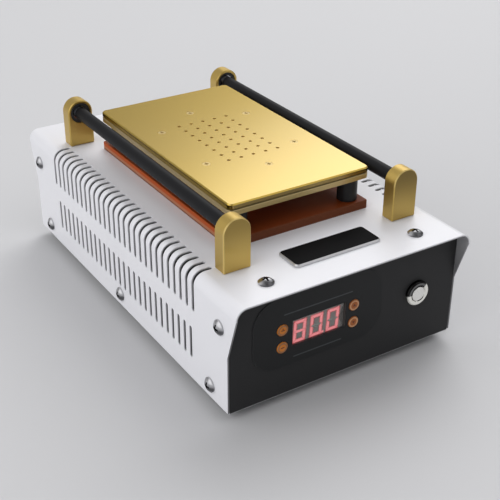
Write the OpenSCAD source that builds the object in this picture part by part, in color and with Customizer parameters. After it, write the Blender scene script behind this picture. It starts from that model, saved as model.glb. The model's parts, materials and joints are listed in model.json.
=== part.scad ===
// Screen separator: a heated suction plate on a vented sheet-metal case, with two guide rods
// beside the plate. Millimetres, +Z up, front towards -Y. The origin is on the bench, under the
// middle of the case.

/* [Cover] */
// Width of the cover over its two sides
cover_w = 182; // [178:1:196]
// Depth between the outer faces of the front and rear panels
case_d = 298; // [294:1:320]
// Height of the cover from its lower edge to its top face
cover_h = 81; // [79:1:92]
// Thickness of the cover sheet
cover_t = 1.2; // [1:0.1:1.6]
// Outer radius of the two long bends
bend_r = 8; // [6:0.5:10]
// How far the cover hangs over in front of each panel
visor = 10; // [7:1:14]
// Height above the lower edge at which the overhang starts
knee_h = 42; // [38:1:46]

/* [Slots] */
// Width of each slot
slot_w = 3; // [2.4:0.1:3.6]
// Distance from one slot to the next
slot_pitch = 8; // [7:0.1:8.4]
// Number of long slots round each bend
slot_n = 28; // [20:1:29]
// Distance in from the side at which a long slot ends on the top
slot_reach = 14; // [12:0.5:14.5]
// Height above the lower edge at which a long slot ends on the side
slot_foot = 53.5; // [50:0.5:58]
// Height above the lower edge of a short slot's lower end
vent_low = 16.5; // [16:0.5:20]
// Height above the lower edge of a short slot's upper end
vent_high = 40.5; // [36:0.5:44]

/* [Base tray] */
// Thickness of the tray sheet
tray_t = 1.2; // [1:0.1:1.6]
// Height of the tray that shows below the cover
tray_lip = 2; // [1:0.5:4]
// Height of the tray's side flanges
tray_flange = 17; // [15:0.5:17]
// Depth of the flanges behind the front and rear panels
panel_flange = 18; // [15:1:20]
// Gap between a panel's edge and the cover's side
panel_gap = 0.5; // [0.3:0.1:1]
// Outer radius of the tray's bends
tray_r = 2; // [1.8:0.1:3]

/* [Feet] */
// Diameter of a rubber foot
foot_d = 16; // [12:1:20]
// Height of a rubber foot
foot_h = 6; // [5:0.5:10]
// Distance of a foot's axis from the case's edges
foot_inset = 24; // [20:1:30]

/* [Case screws] */
// Head diameter of a case screw
screw_head_d = 10.4; // [9:0.1:11]
// Head height of a case screw
screw_head_h = 3.2; // [2.4:0.1:3.6]
// Shank diameter of a case screw
screw_d = 5; // [4:0.5:5]
// Distance of the top screws from the middle, across the case
top_screw_x = 58.5; // [50:0.5:62]
// Distance of the top screws in from the panels' outer faces
top_screw_in = 8; // [7:0.5:10]
// Distance of the upper side screws in from the panels' outer faces
side_screw_in = 9; // [8:0.5:11]
// Height of the upper side screws above the cover's lower edge
side_screw_high = 59.6; // [58:0.2:62]
// Distance of the lower side screws in from the panels' outer faces
low_screw_in = 21; // [18:0.5:26]
// Height of the lower side screws above the cover's lower edge
low_screw_h = 9.6; // [8:0.2:10]

/* [Plates] */
// Width of the plates and of the insulating board
plate_w = 111; // [108:1:112]
// Length of the plates and of the insulating board
plate_l = 188; // [184:1:196]
// Thickness of the upper plate
plate_t = 3.5; // [3:0.5:6]
// Thickness of the lower plate
lower_t = 3.5; // [3:0.5:6]
// Thickness of the seal between the plates
seal_t = 1; // [0.5:0.1:1.5]
// How far the seal sits in from the plates' edge
seal_inset = 1.5; // [1:0.1:2.5]
// Corner radius of the plates
plate_r = 3.5; // [2.5:0.5:6]
// Chamfer along the upper plate's top edge
plate_ease = 0.8; // [0.4:0.1:1.2]
// Diameter of a suction hole
hole_d = 2.6; // [1.2:0.1:3]
// Distance from one suction hole to the next
hole_pitch = 10; // [9:0.5:10.5]
// Rows of suction holes across the plate
hole_rows = 5; // [3:2:5]
// Suction holes in each row
hole_cols = 8; // [4:2:8]
// Width of the air grooves in the lower plate
groove_w = 4; // [3:0.5:5]
// Depth of the air grooves in the lower plate
groove_h = 1.5; // [1:0.1:2]
// Distance of the four plate screws from the middle, across the plate
plate_screw_x = 36; // [32:0.5:38]
// Distance of the four plate screws from the middle, along the plate
plate_screw_y = 32; // [28:0.5:40]
// Distance of the two end screws from the middle, along the plate
end_screw_y = 54.3; // [50:0.1:60]
// Head diameter of a plate screw
plate_head_d = 5.6; // [5:0.1:6.4]
// Shank diameter of a plate screw
plate_screw_d = 3; // [2.5:0.1:3.2]

/* [Board and posts] */
// Thickness of the insulating board
board_t = 6; // [4:0.5:8]
// Diameter of a post
post_d = 14; // [11:0.5:15]
// Height of a post
post_h = 17; // [15:0.5:22]
// Distance of a post's axis in from the board's sides
post_in_x = 11; // [9:0.5:13]
// Distance of a post's axis in from the board's ends
post_in_y = 9.5; // [9:0.5:16]
// Diameter of the post and bracket screws
stud_d = 4; // [3.5:0.1:4.5]
// Width of the heating mat
mat_w = 66; // [60:1:68]
// Length of the heating mat
mat_l = 168; // [150:1:170]
// Thickness of the heating mat
mat_t = 1.5; // [1:0.1:2]

/* [Brackets] */
// Width of a bracket
bracket_w = 20; // [18.5:0.1:20.4]
// Height of a bracket to the top of its arch
bracket_h = 36.25; // [34:0.05:44]
// Thickness of a bracket
bracket_t = 11; // [9:0.1:12]
// Distance of a bracket's outer face from the middle
bracket_y = 120.3; // [117:0.1:122]
// Distance of the brackets' and rods' axes from the middle
rod_x = 65.8; // [65.6:0.1:66.4]
// Chamfer round a bracket's faces
bracket_ease = 0.8; // [0.4:0.1:1.2]

/* [Rods and bearings] */
// Outer diameter of a bearing
bearing_d = 16; // [15:0.5:16]
// Width of a bearing
bearing_w = 5; // [4:0.5:6]
// How far a bearing sits back from a bracket's inner face
bearing_back = 1.5; // [0.5:0.1:2]
// Diameter of a rod's shaft
shaft_d = 8; // [6:0.5:8]
// Wall of a rod's sleeve
sleeve_t = 0.75; // [0.5:0.05:1.2]
// Gap from a sleeve's end to the bracket
sleeve_gap = 0.8; // [0.5:0.1:2]

/* [Badge plate] */
// Width of the plain badge plate
badge_w = 67; // [60:1:80]
// Depth of the badge plate
badge_l = 21.5; // [18:0.5:24]
// Thickness of the badge plate
badge_t = 2; // [1.5:0.1:3]
// Distance of the badge plate's middle from the front panel's face
badge_in = 22.5; // [21:0.5:26]
// Corner radius of the badge plate
badge_r = 3; // [2.5:0.5:5]

/* [Controls] */
// Width of the control overlay
overlay_w = 100; // [92:0.5:104]
// Height of the control overlay
overlay_h = 52; // [40:0.5:54]
// Distance of the overlay's middle to the left of the case's middle
overlay_x = 23.3; // [20:0.1:26]
// Height of the overlay's middle above the cover's lower edge
overlay_z = 46.4; // [42:0.1:47]
// Corner radius of the overlay
overlay_r = 18; // [8:0.5:20]
// Thickness of the overlay
overlay_t = 0.5; // [0.3:0.1:1]
// Width of the display window
window_w = 41; // [38:0.5:42]
// Height of the display window
window_h = 18.5; // [16:0.5:20]
// Diameter of a key
key_d = 8; // [7:0.1:9]
// Distance of the keys from the window's middle, sideways
key_x = 27.6; // [27:0.1:30]
// Distance from the upper keys to the lower keys
key_z = 12.9; // [12:0.1:15]
// How far a key stands out of the overlay
key_out = 0.5; // [0.5:0.1:2]
// Travel of a key
key_travel = 0.4; // [0.2:0.1:0.5]
// Width of a digit over its outer bars
digit_w = 9; // [8:0.1:10]
// Height of a digit over its outer bars
digit_h = 15.6; // [14:0.1:16.4]
// Distance from one digit to the next
digit_pitch = 12.85; // [12:0.05:13]
// Thickness of a digit's bars
bar_t = 1.9; // [1.5:0.1:2.2]
// Depth from the panel to the controller board
board_gap = 8.5; // [8:0.1:12]

/* [Start button] */
// Distance of the start button's axis in from the cover's right side
button_x = 34.2; // [31:0.1:37]
// Height of the start button above the cover's lower edge
button_z = 40.7; // [36:0.1:44]
// Diameter of the bezel
bezel_d = 18.4; // [18:0.1:22]
// Height of the bezel
bezel_h = 2.7; // [2:0.1:4]
// Diameter of the barrel behind the panel
barrel_d = 16; // [15.6:0.1:16.4]
// Diameter of the cap
cap_d = 10.4; // [10:0.1:13]
// How far the cap stands out of the bezel
cap_out = 0.1; // [0.1:0.1:2.4]

/* [Rear panel] */
// Distance of the mains inlet's middle in from the cover's left side
inlet_x = 41; // [31:1:51]
// Height of the mains inlet above the cover's lower edge
inlet_z = 32; // [28:1:46]
// Distance of the rocker switch's middle from the mains inlet's middle
rocker_x = 38; // [30:1:50]

/* [Pump] */
// Diameter of the pump motor
motor_d = 36; // [30:1:38]
// Length of the pump motor
motor_l = 52; // [50:1:56]
// Distance of the pump's axis to the left of the middle
pump_x = 24; // [23:0.5:26]
// Distance of the suction port to the left of the middle
port_x = 10; // [9:0.5:11]
// Distance of the suction port in front of the middle
port_y = 20; // [18:0.5:24]
// Outer diameter of the vacuum hose
hose_d = 9; // [8:0.5:10]
// Inner diameter of the vacuum hose
hose_bore = 6; // [5.6:0.1:6.4]

/* [Power board] */
// Width of the power board
pcb_w = 56; // [54:1:58]
// Length of the power board
pcb_l = 110; // [105:1:120]
// Distance of the power board's middle in from the cover's right side
pcb_x = 36; // [34:0.5:37]
// Distance of the power board's middle behind the case's middle
pcb_y = 45; // [40:1:50]
// Thickness of the circuit boards
pcb_t = 1.6; // [1.2:0.1:2]
// Height of the spacers under the power board
spacer_h = 6; // [5:0.5:10]

/* [Hidden] */
$fn = 64;
// Clearances: free gap between moving pieces, fit of a shaft or a pressed piece, screw in its hole
free = 0.3;
fit = 0.02;
screw_fit = 0.05;
cut = 1;
// Levels
cover_z = foot_h + tray_lip;
top_z = cover_z + cover_h;
under_z = top_z - cover_t;
floor_z = foot_h + tray_t;
board_top = top_z + board_t;
lower_z = board_top + post_h;
seal_z = lower_z + lower_t;
plate_z = seal_z + seal_t;
panel_y = case_d / 2;
panel_in = panel_y - tray_t;
tray_h = under_z - foot_h;
inner_x = cover_w / 2 - cover_t;
panel_x = inner_x - panel_gap;
ear_low = foot_h + tray_flange + 5;
// Rods
axis_h = bracket_h - bracket_w / 2;
axis_z = top_z + axis_h;
bracket_in = bracket_y - bracket_t;
pocket_h = bearing_w + bearing_back;
relief_d = bearing_d * 0.75;
relief_h = 0.9;
shaft_end = bracket_in + pocket_h + relief_h - 0.4;
race_wall = (bearing_d / 2 - shaft_d / 2) * 0.33;
race_in = shaft_d / 2 + fit + race_wall;
race_out = bearing_d / 2 - race_wall;
ball_path = (race_in + race_out) / 2;
ball_r = race_wall * 0.87;
ball_gap = 0.05;
ball_n = 8;
// Controls
window_x = -overlay_x;
window_z = cover_z + overlay_z - 2.7;
keys_x = window_x - 0.5;
keys_z = cover_z + overlay_z - 4.1;
display_w = window_w - 1.4;
display_h = window_h - 0.9;
display_dx = 0.5;
display_dz = -1.3;
digit_dx = -0.8;
digit_dz = -1.6;
digit_lean = 0.95;
digit_in = 0.8;
bar_gap = 0.3;
point_w = 1.7;
pcb_face = panel_in - board_gap;
lens_back = panel_in - 0.5;
tact_h = 3.5;
tact_plunger = 1;
key_flange_t = 0.8;
ctrl_w = 92;
ctrl_h = 42;
ctrl_hole_in = 5;
ctrl_hole_x = ctrl_w / 2 - ctrl_hole_in;
ctrl_hole_z = ctrl_h / 2 - ctrl_hole_in;
ctrl_screw_d = 3;
button_at = cover_w / 2 - button_x;
button_zz = cover_z + button_z;
chamber_d = cap_d + 2 * free;
chamber_h = 9;
barrel_l = 22;
stem_d = 5.2;
stem_l = 12;
cap_low = -1;
cap_edge = 0.4;
bezel_edge = 1.6;
bezel_in = 0.5;
nut_h = 2.8;
nut_d = barrel_d + 7;
// Case screws
top_screw_l = 8;
side_screw_l = 6;
// Post and bracket screws
post_x = plate_w / 2 - post_in_x;
post_y = plate_l / 2 - post_in_y;
bracket_screw_dx = 5.5;
small_head_d = 7.2;
small_head_h = 2.4;
bite = 9;
// Heat and air
board_x = cover_w / 2 - pcb_x;
lead_side = 26;
lead_x = board_x - lead_side;
lead_y = 40;
lead_d = 4;
lead_hole = 10;
hose_hole = hose_d + 4;
nipple_hex = 12;
nipple_hex_h = 3;
nipple_l = 14;
barb_d = hose_bore - 2 * fit;
switch_d = 14;
switch_h = 6;
switch_y = 62;
// Pump
grommet_h = 5;
cradle_t = 2;
cradle_w = 64;
cradle_l = 84;
cradle_y = 10;
pump_axis_z = floor_z + grommet_h + 2 * cradle_t + motor_d / 2;
head_w = 40;
head_l = 34;
head_y = 2;
head_z = floor_z + grommet_h + cradle_t;
head_h = 44;
barb_h = 12;
hose_z0 = head_z + head_h + 1.5;
hose_z1 = lower_z - nipple_hex_h - 1;
clamp_w = 8;
clamp_rear_y = 6;
clamp_front_y = 30;
clamp_t = 2.4;
// Power board
pcb_z = floor_z + spacer_h;
pcb_top = pcb_z + pcb_t;
pcb_hole_x = pcb_w / 2 - 4;
pcb_hole_y = pcb_l / 2 - 4;
terminal_w = 9;
terminal_l = 22;
terminal_h = 12;
terminal_dx = 2.5;
relay_x = 12;
relay_y = 34;
relay_w = 15.5;
relay_l = 19;
relay_h = 15.6;
capacitor_x = 2;
capacitor_y = 44;
capacitor_d = 10;
capacitor_h = 18;
sink_x = 16;
sink_y = 13;
sink_w = 14;
sink_l = 22;
sink_h = 25;
sink_fin = 3;
core_x = 3;
core_y = 16;
core_w = 42;
core_l = 16;
core_h = 35;
coil_w = 27;
coil_l = 30;
coil_h = 27;
coil_z = 4;
// Rear
inlet_at = cover_w / 2 - inlet_x;
rocker_at = inlet_at - rocker_x;
inlet_zz = cover_z + inlet_z;
inlet_w = 31;
inlet_h = 42;
inlet_body_w = 26.6;
inlet_body_h = 37;
inlet_body_d = 20;
inlet_flange_t = 2.5;
socket_w = 24.2;
socket_h = 16.4;
socket_y = 8;
socket_d = 14;
drawer_y = -12.5;
drawer_w = 23;
drawer_h = 8.4;
drawer_d = 15;
drawer_lip = 1.6;
drawer_rim = 1.5;
drawer_floor = 2;
fuse_d = 5;
fuse_l = 20;
switch_w = 15;
switch_l = 21;
switch_in_w = 12.8;
switch_in_l = 18.8;
switch_in_d = 14;
switch_flange_t = 2;
well_wall = 0.8;
pin_wall = 0.6;
well_d = 8;
tab_w = 4.8;
tab_t = 0.8;
tab_l = 6.5;
tab_y = 5;
rocker_w = 9;
rocker_l = 15.2;
rocker_tilt = 9;
rocker_pin_d = 3;
pivot_z = -1;

// A rectangle with round corners
module rounded_rect(w, l, r) {
    square([w - 2 * r, l], center = true);
    square([w, l - 2 * r], center = true);
    for (sx = [-1, 1], sy = [-1, 1]) {
        translate([sx * (w / 2 - r), sy * (l / 2 - r)]) circle(r = r);
    }
}

// A plate with round corners and a chamfer along its top edge
module eased_plate(w, l, t, r, c) {
    rotate([90, 0, 90]) linear_extrude(height = w - 2 * r, center = true) eased_side(l, t, c);
    rotate([90, 0, 0]) linear_extrude(height = l - 2 * r, center = true) eased_side(w, t, c);
    for (sx = [-1, 1], sy = [-1, 1]) {
        translate([sx * (w / 2 - r), sy * (l / 2 - r), 0]) {
            rotate_extrude() polygon([[0, 0], [r, 0], [r, t - c], [r - c, t], [0, t]]);
        }
    }
}

module eased_side(w, t, c) {
    polygon([[-w / 2, 0], [w / 2, 0], [w / 2, t - c], [w / 2 - c, t], [c - w / 2, t], [-w / 2, t - c]]);
}

// A block with its foot at the origin's level, centred across
module block(w, l, h) {
    translate([-w / 2, -l / 2, 0]) cube([w, l, h]);
}

// A round screw with a domed, cross-recessed head: head upwards, seat at zero
module dome_screw(head_d, head_h, shank_d, shank_l) {
    side_h = head_h * 0.3;
    cap_h = head_h - side_h;
    dome_r = (head_d * head_d / 4 + cap_h * cap_h) / (2 * cap_h);
    difference() {
        union() {
            rotate_extrude() intersection() {
                translate([0, head_h - dome_r]) circle(r = dome_r, $fn = 180);
                square([head_d / 2, head_h]);
            }
            translate([0, 0, -shank_l]) cylinder(d = shank_d, h = shank_l + side_h);
        }
        for (a = [0, 90]) {
            rotate([0, 0, a]) translate([0, 0, head_h * 0.5]) block(head_d * 0.52, head_d * 0.13, head_h);
        }
    }
}

// Puts a child on both sides of the middle
module mirrored_x() {
    children();
    mirror([1, 0, 0]) children();
}

module mirrored_y() {
    children();
    mirror([0, 1, 0]) children();
}

// Copies a child to four places round the middle
module at_corners(x, y) {
    for (sx = [-1, 1], sy = [-1, 1]) {
        translate([sx * x, sy * y, 0]) children();
    }
}

// Places a child on the front panel's face, its Z outwards and its Y up
module on_front(x, z) {
    translate([x, -panel_y, z]) rotate([90, 0, 0]) children();
}

// Places a child on the rear panel's face, its Z outwards and its Y up
module on_rear(x, z) {
    translate([x, panel_y, z]) rotate([90, 0, 180]) children();
}

// The places of the ten side screws, each with its Z out of the side
module at_side_screws() {
    mirrored_x() {
        for (sy = [-1, 1]) {
            translate([cover_w / 2, sy * (panel_y - side_screw_in), cover_z + side_screw_high]) {
                rotate([0, 90, 0]) children();
            }
        }
        for (sy = [-1, 0, 1]) {
            translate([cover_w / 2, sy * (panel_y - low_screw_in), cover_z + low_screw_h]) {
                rotate([0, 90, 0]) children();
            }
        }
    }
}

module cover_section(w, h, r) {
    translate([-w / 2, 0]) square([w, h - r]);
    translate([r - w / 2, 0]) square([w - 2 * r, h]);
    for (s = [-1, 1]) {
        translate([s * (w / 2 - r), h - r]) circle(r = r);
    }
}

// One long slot, round the bend from the top to the side
module long_slot() {
    top_end = cover_w / 2 - slot_reach + slot_w / 2;
    foot_end = slot_foot + slot_w / 2;
    translate([top_end, -slot_w / 2, foot_end]) cube([slot_reach + cut, slot_w, cover_h - foot_end + cut]);
    translate([top_end, 0, cover_h - bend_r]) cylinder(d = slot_w, h = bend_r + cut);
    translate([cover_w / 2 - bend_r, 0, foot_end]) rotate([0, 90, 0]) cylinder(d = slot_w, h = bend_r + cut);
}

// One short slot in the side
module short_slot() {
    low = vent_low + slot_w / 2;
    high = vent_high - slot_w / 2;
    translate([cover_w / 2 - bend_r, -slot_w / 2, low]) cube([bend_r + cut, slot_w, high - low]);
    for (z = [low, high]) {
        translate([cover_w / 2 - bend_r, 0, z]) rotate([0, 90, 0]) cylinder(d = slot_w, h = bend_r + cut);
    }
}

module cover() {
    slant_h = cover_h - bend_r;
    tip_y = panel_y + visor;
    color("whitesmoke") difference() {
        translate([0, 0, cover_z]) difference() {
            intersection() {
                rotate([90, 0, 0]) linear_extrude(height = 2 * tip_y + cut, center = true) difference() {
                    cover_section(cover_w, cover_h, bend_r);
                    translate([0, -cut])
                        cover_section(cover_w - 2 * cover_t, cover_h - cover_t + cut, bend_r - cover_t);
                }
                rotate([90, 0, 90]) linear_extrude(height = cover_w + cut, center = true) polygon([
                    [-panel_y, 0], [panel_y, 0], [panel_y, knee_h], [tip_y, slant_h],
                    [tip_y, cover_h + cut], [-tip_y, cover_h + cut], [-tip_y, slant_h], [-panel_y, knee_h]]);
            }
            mirrored_x() {
                for (i = [0 : slot_n - 1]) {
                    translate([0, (i - (slot_n - 1) / 2) * slot_pitch, 0]) long_slot();
                }
                for (i = [0 : slot_n - 2]) {
                    translate([0, (i - (slot_n - 2) / 2) * slot_pitch, 0]) short_slot();
                }
            }
        }
        translate([0, 0, under_z - cut]) {
            at_corners(top_screw_x, panel_y - top_screw_in)
                cylinder(d = screw_d + 0.6, h = cover_t + 2 * cut);
            at_corners(post_x, post_y) cylinder(d = stud_d + 0.4, h = cover_t + 2 * cut);
            at_corners(rod_x, bracket_y - bracket_t / 2) {
                for (s = [-1, 1]) {
                    translate([s * bracket_screw_dx, 0, 0]) cylinder(d = stud_d + 0.4, h = cover_t + 2 * cut);
                }
            }
            translate([-port_x, -port_y, 0]) cylinder(d = hose_hole, h = cover_t + 2 * cut);
            translate([lead_x, lead_y, 0]) cylinder(d = lead_hole, h = cover_t + 2 * cut);
        }
        at_side_screws() translate([0, 0, -cover_t - cut]) cylinder(d = screw_d + 0.6, h = cover_t + 2 * cut);
    }
}

module tray_loop(l, h, r) {
    translate([0, h / 2]) rounded_rect(l, h, r);
}

module base_tray() {
    color("dimgray") difference() {
        union() {
            // Floor, front and rear panels and their top flanges, bent from one sheet
            translate([0, 0, foot_h]) intersection() {
                rotate([90, 0, 90]) linear_extrude(height = 2 * panel_x, center = true) difference() {
                    tray_loop(case_d, tray_h, tray_r);
                    translate([0, tray_t])
                        tray_loop(case_d - 2 * tray_t, tray_h - 2 * tray_t, tray_r - tray_t);
                    translate([panel_flange - panel_y, tray_h / 2])
                        square([case_d - 2 * panel_flange, tray_h]);
                }
                rotate([90, 0, 0]) linear_extrude(height = case_d + cut, center = true) {
                    cover_section(2 * panel_x, tray_h, bend_r - cover_t);
                }
            }
            // Side flanges of the floor
            translate([0, 0, foot_h]) rotate([90, 0, 0])
                linear_extrude(height = 2 * (panel_in - tray_r), center = true) difference() {
                translate([0, tray_flange]) rounded_rect(2 * inner_x, 2 * tray_flange, tray_r);
                translate([0, tray_flange])
                    rounded_rect(2 * (inner_x - tray_t), 2 * (tray_flange - tray_t), tray_r - tray_t);
                translate([-cover_w / 2, tray_flange]) square([cover_w, tray_flange + cut]);
            }
            // Side flanges of the panels
            mirrored_x() mirrored_y() {
                translate([panel_x - tray_t, -panel_y + tray_t / 2, ear_low]) {
                    cube([tray_t, panel_flange - tray_t / 2, top_z - bend_r - 3 - ear_low]);
                }
            }
        }
        // The top flanges stop short of the cover's bends
        mirrored_x() mirrored_y() translate([cover_w / 2 - bend_r - 1, -panel_in, top_z - bend_r - 2]) {
            cube([bend_r + 1, panel_flange, bend_r + 2]);
        }
        // Screw holes
        translate([0, 0, under_z - 2 * tray_t]) {
            at_corners(top_screw_x, panel_y - top_screw_in)
                cylinder(d = screw_d + 2 * screw_fit, h = 3 * tray_t);
        }
        at_side_screws() translate([0, 0, -cover_t - panel_gap - 2 * tray_t])
            cylinder(d = screw_d + 2 * screw_fit, h = 4 * tray_t);
        translate([0, 0, foot_h - cut]) {
            at_corners(cover_w / 2 - foot_inset, panel_y - foot_inset)
                cylinder(d = stud_d + 2 * screw_fit, h = tray_t + 2 * cut);
            translate([-pump_x, cradle_y, 0]) at_corners(cradle_w / 2 - 5, cradle_l / 2 - 5) {
                cylinder(d = 3.2, h = tray_t + 2 * cut);
            }
            translate([board_x, pcb_y, 0]) at_corners(pcb_hole_x, pcb_hole_y)
                cylinder(d = 3.2, h = tray_t + 2 * cut);
        }
        // Openings in the front panel
        on_front(window_x, window_z) translate([0, 0, -tray_t - cut]) {
            linear_extrude(height = tray_t + 2 * cut)
                square([window_w + free, window_h + free], center = true);
        }
        on_front(keys_x, keys_z) translate([0, 0, -tray_t - cut]) at_corners(key_x, key_z / 2) {
            cylinder(d = key_d + 2 * free, h = tray_t + 2 * cut);
        }
        on_front(button_at, button_zz) translate([0, 0, -tray_t - cut])
            cylinder(d = barrel_d + free, h = tray_t + 2 * cut);
        // Openings in the rear panel
        on_rear(-inlet_at, inlet_zz) translate([0, 0, -tray_t - cut]) {
            linear_extrude(height = tray_t + 2 * cut)
                square([inlet_body_w + free, inlet_body_h + free], center = true);
        }
        on_rear(-rocker_at, inlet_zz) translate([0, 0, -tray_t - cut]) {
            linear_extrude(height = tray_t + 2 * cut)
                square([switch_in_w + free, switch_in_l + free], center = true);
        }
    }
}

module feet() {
    lip = 1.2;
    color([0.08, 0.08, 0.08]) at_corners(cover_w / 2 - foot_inset, panel_y - foot_inset) difference() {
        rotate_extrude()
            polygon([[0, 0], [foot_d / 2 - lip, 0], [foot_d / 2, foot_h - lip],
                [foot_d / 2, foot_h], [0, foot_h]]);
        translate([0, 0, -cut]) cylinder(d = small_head_d + 1, h = small_head_h + cut + 0.4);
        translate([0, 0, -cut]) cylinder(d = stud_d + 2 * screw_fit, h = foot_h + 2 * cut);
    }
}

module foot_screws() {
    color("silver") at_corners(cover_w / 2 - foot_inset, panel_y - foot_inset) {
        translate([0, 0, small_head_h + 0.4]) rotate([180, 0, 0]) {
            dome_screw(small_head_d, small_head_h, stud_d, foot_h + tray_t);
        }
    }
}

module cover_top_screws() {
    color("silver") translate([0, 0, top_z]) at_corners(top_screw_x, panel_y - top_screw_in) {
        dome_screw(screw_head_d, screw_head_h, screw_d, top_screw_l);
    }
}

module cover_side_screws() {
    color("silver") at_side_screws() dome_screw(screw_head_d, screw_head_h, screw_d, side_screw_l);
}

module badge_plate() {
    color([0.06, 0.06, 0.07]) translate([0, badge_in - panel_y, top_z]) {
        eased_plate(badge_w, badge_l, badge_t, badge_r, badge_t * 0.4);
    }
}

module control_overlay() {
    color([0.1, 0.1, 0.1]) difference() {
        on_front(-overlay_x, cover_z + overlay_z) linear_extrude(height = overlay_t)
            rounded_rect(overlay_w, overlay_h, overlay_r);
        on_front(window_x, window_z) translate([0, 0, -cut]) {
            linear_extrude(height = 2 * cut) square([window_w + free, window_h + free], center = true);
        }
        on_front(keys_x, keys_z) translate([0, 0, -cut]) at_corners(key_x, key_z / 2) {
            cylinder(d = key_d + 2 * free, h = 2 * cut);
        }
    }
}

module display_window() {
    color([0.3, 0.03, 0.03]) translate([window_x, -panel_y - overlay_t, window_z - window_h / 2]) {
        translate([-window_w / 2, 0, 0]) cube([window_w, panel_y + overlay_t - lens_back, window_h]);
    }
}

// Moves points sideways with their height, so that a digit leans to the right
function leaned(points) = [for (p = points) [p[0] + p[1] * digit_lean / digit_h, p[1]]];

// The outlines of one digit's seven bars and its point, cut apart along their mitred ends
module digit_bars() {
    w = digit_w / 2;
    h = digit_h / 2;
    t = bar_t;
    g = bar_gap / 2;
    for (s = [-1, 1]) {
        polygon(leaned([[g - w, s * h], [w - g, s * h], [w - t - g, s * (h - t)], [t + g - w, s * (h - t)]]));
        for (u = [-1, 1]) {
            polygon(leaned([[s * w, u * (h - g)], [s * w, u * g], [s * (w - t), u * (t / 2 + g)],
                [s * (w - t), u * (h - t - g)]]));
        }
    }
    polygon(leaned([[2 * g - w, 0], [t + 2 * g - w, t / 2], [w - t - 2 * g, t / 2], [w - 2 * g, 0],
        [w - t - 2 * g, -t / 2], [t + 2 * g - w, -t / 2]]));
    translate([w + bar_gap + point_w / 2 - digit_lean / 2, point_w / 2 - h]) square(point_w, center = true);
}

module display_module() {
    color([0.35, 0.32, 0.32]) difference() {
        translate([window_x + display_dx, -lens_back, window_z + display_dz - display_h / 2]) {
            translate([-display_w / 2, 0, 0]) cube([display_w, lens_back - pcb_face, display_h]);
        }
        // Shallow beds of the digits' bars
        for (i = [-1, 0, 1]) {
            translate([window_x + digit_dx + i * digit_pitch, digit_in - lens_back, window_z + digit_dz]) {
                rotate([90, 0, 0]) linear_extrude(height = digit_in + cut) digit_bars();
            }
        }
    }
}

module controller_board() {
    color("darkgreen") difference() {
        translate([window_x, -pcb_face, window_z]) rotate([90, 0, 0]) translate([0, 0, -pcb_t]) {
            linear_extrude(height = pcb_t) rounded_rect(ctrl_w, ctrl_h, 2);
        }
        translate([window_x, -pcb_face, window_z]) rotate([90, 0, 0]) translate([0, 0, -pcb_t - cut]) {
            at_corners(ctrl_hole_x, ctrl_hole_z)
                cylinder(d = ctrl_screw_d + 2 * screw_fit, h = pcb_t + 2 * cut);
        }
    }
}

module controller_standoffs() {
    color("silver") translate([window_x, -pcb_face, window_z]) rotate([90, 0, 0])
        at_corners(ctrl_hole_x, ctrl_hole_z) {
        difference() {
            cylinder(d = 5.5, h = board_gap);
            translate([0, 0, -cut]) cylinder(d = ctrl_screw_d + 2 * screw_fit, h = 6 + cut);
        }
        rotate([180, 0, 0]) translate([0, 0, pcb_t]) dome_screw(5.6, 2, ctrl_screw_d, 6);
    }
}

module tact_switches() {
    color("silver") translate([keys_x, -pcb_face, keys_z]) rotate([90, 0, 0]) at_corners(key_x, key_z / 2) {
        block(6, 6, tact_h);
        translate([0, 0, tact_h]) cylinder(d = 3.4, h = tact_plunger);
    }
}

// One key: a round head in the panel, a flange behind it and a stem to its switch
module key(sx, sz) {
    head_l = key_out + overlay_t + tray_t;
    stem_l = board_gap - free - key_flange_t - tact_h - tact_plunger - key_travel - free;
    color("peru") on_front(keys_x + sx * key_x, keys_z + sz * key_z / 2) {
        rotate_extrude()
            polygon([[0, -tray_t - free], [key_d / 2, -tray_t - free], [key_d / 2, key_out + overlay_t - 0.3],
            [key_d / 2 - 0.3, key_out + overlay_t], [0, key_out + overlay_t]]);
        translate([0, 0, -tray_t - free - key_flange_t]) cylinder(d = key_d + 2, h = key_flange_t);
        translate([0, 0, -tray_t - free - key_flange_t - stem_l]) cylinder(d = 3, h = stem_l);
    }
}

module start_button_body() {
    edge = bezel_edge;
    ring = (bezel_d - chamber_d) / 2;
    color([0.85, 0.85, 0.87]) on_front(button_at, button_zz) difference() {
        union() {
            rotate_extrude() difference() {
                translate([chamber_d / 2, 0]) square([ring, bezel_h]);
                difference() {
                    translate([bezel_d / 2 - edge, bezel_h - edge]) square([edge + cut, edge + cut]);
                    translate([bezel_d / 2 - edge, bezel_h - edge]) circle(r = edge);
                }
                polygon([[chamber_d / 2, bezel_h - bezel_in], [chamber_d / 2 + bezel_in, bezel_h],
                    [chamber_d / 2 + bezel_in, bezel_h + cut], [chamber_d / 2 - cut, bezel_h + cut],
                    [chamber_d / 2 - cut, bezel_h - bezel_in]]);
            }
            translate([0, 0, -barrel_l]) difference() {
                cylinder(d = barrel_d, h = barrel_l);
                translate([0, 0, barrel_l - chamber_h]) cylinder(d = chamber_d, h = chamber_h + cut);
                translate([0, 0, 2]) cylinder(d = stem_d + 2 * free, h = barrel_l);
            }
            for (s = [-1, 1]) {
                translate([s * 3.5, 0, -barrel_l - 6]) block(2.8, 0.8, 6.5);
            }
        }
    }
}

module start_button_nut() {
    color("silver") on_front(button_at, button_zz) translate([0, 0, -tray_t - nut_h]) difference() {
        cylinder(d = nut_d, h = nut_h, $fn = 6);
        translate([0, 0, -cut]) cylinder(d = barrel_d + 2 * screw_fit, h = nut_h + 2 * cut);
    }
}

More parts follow.
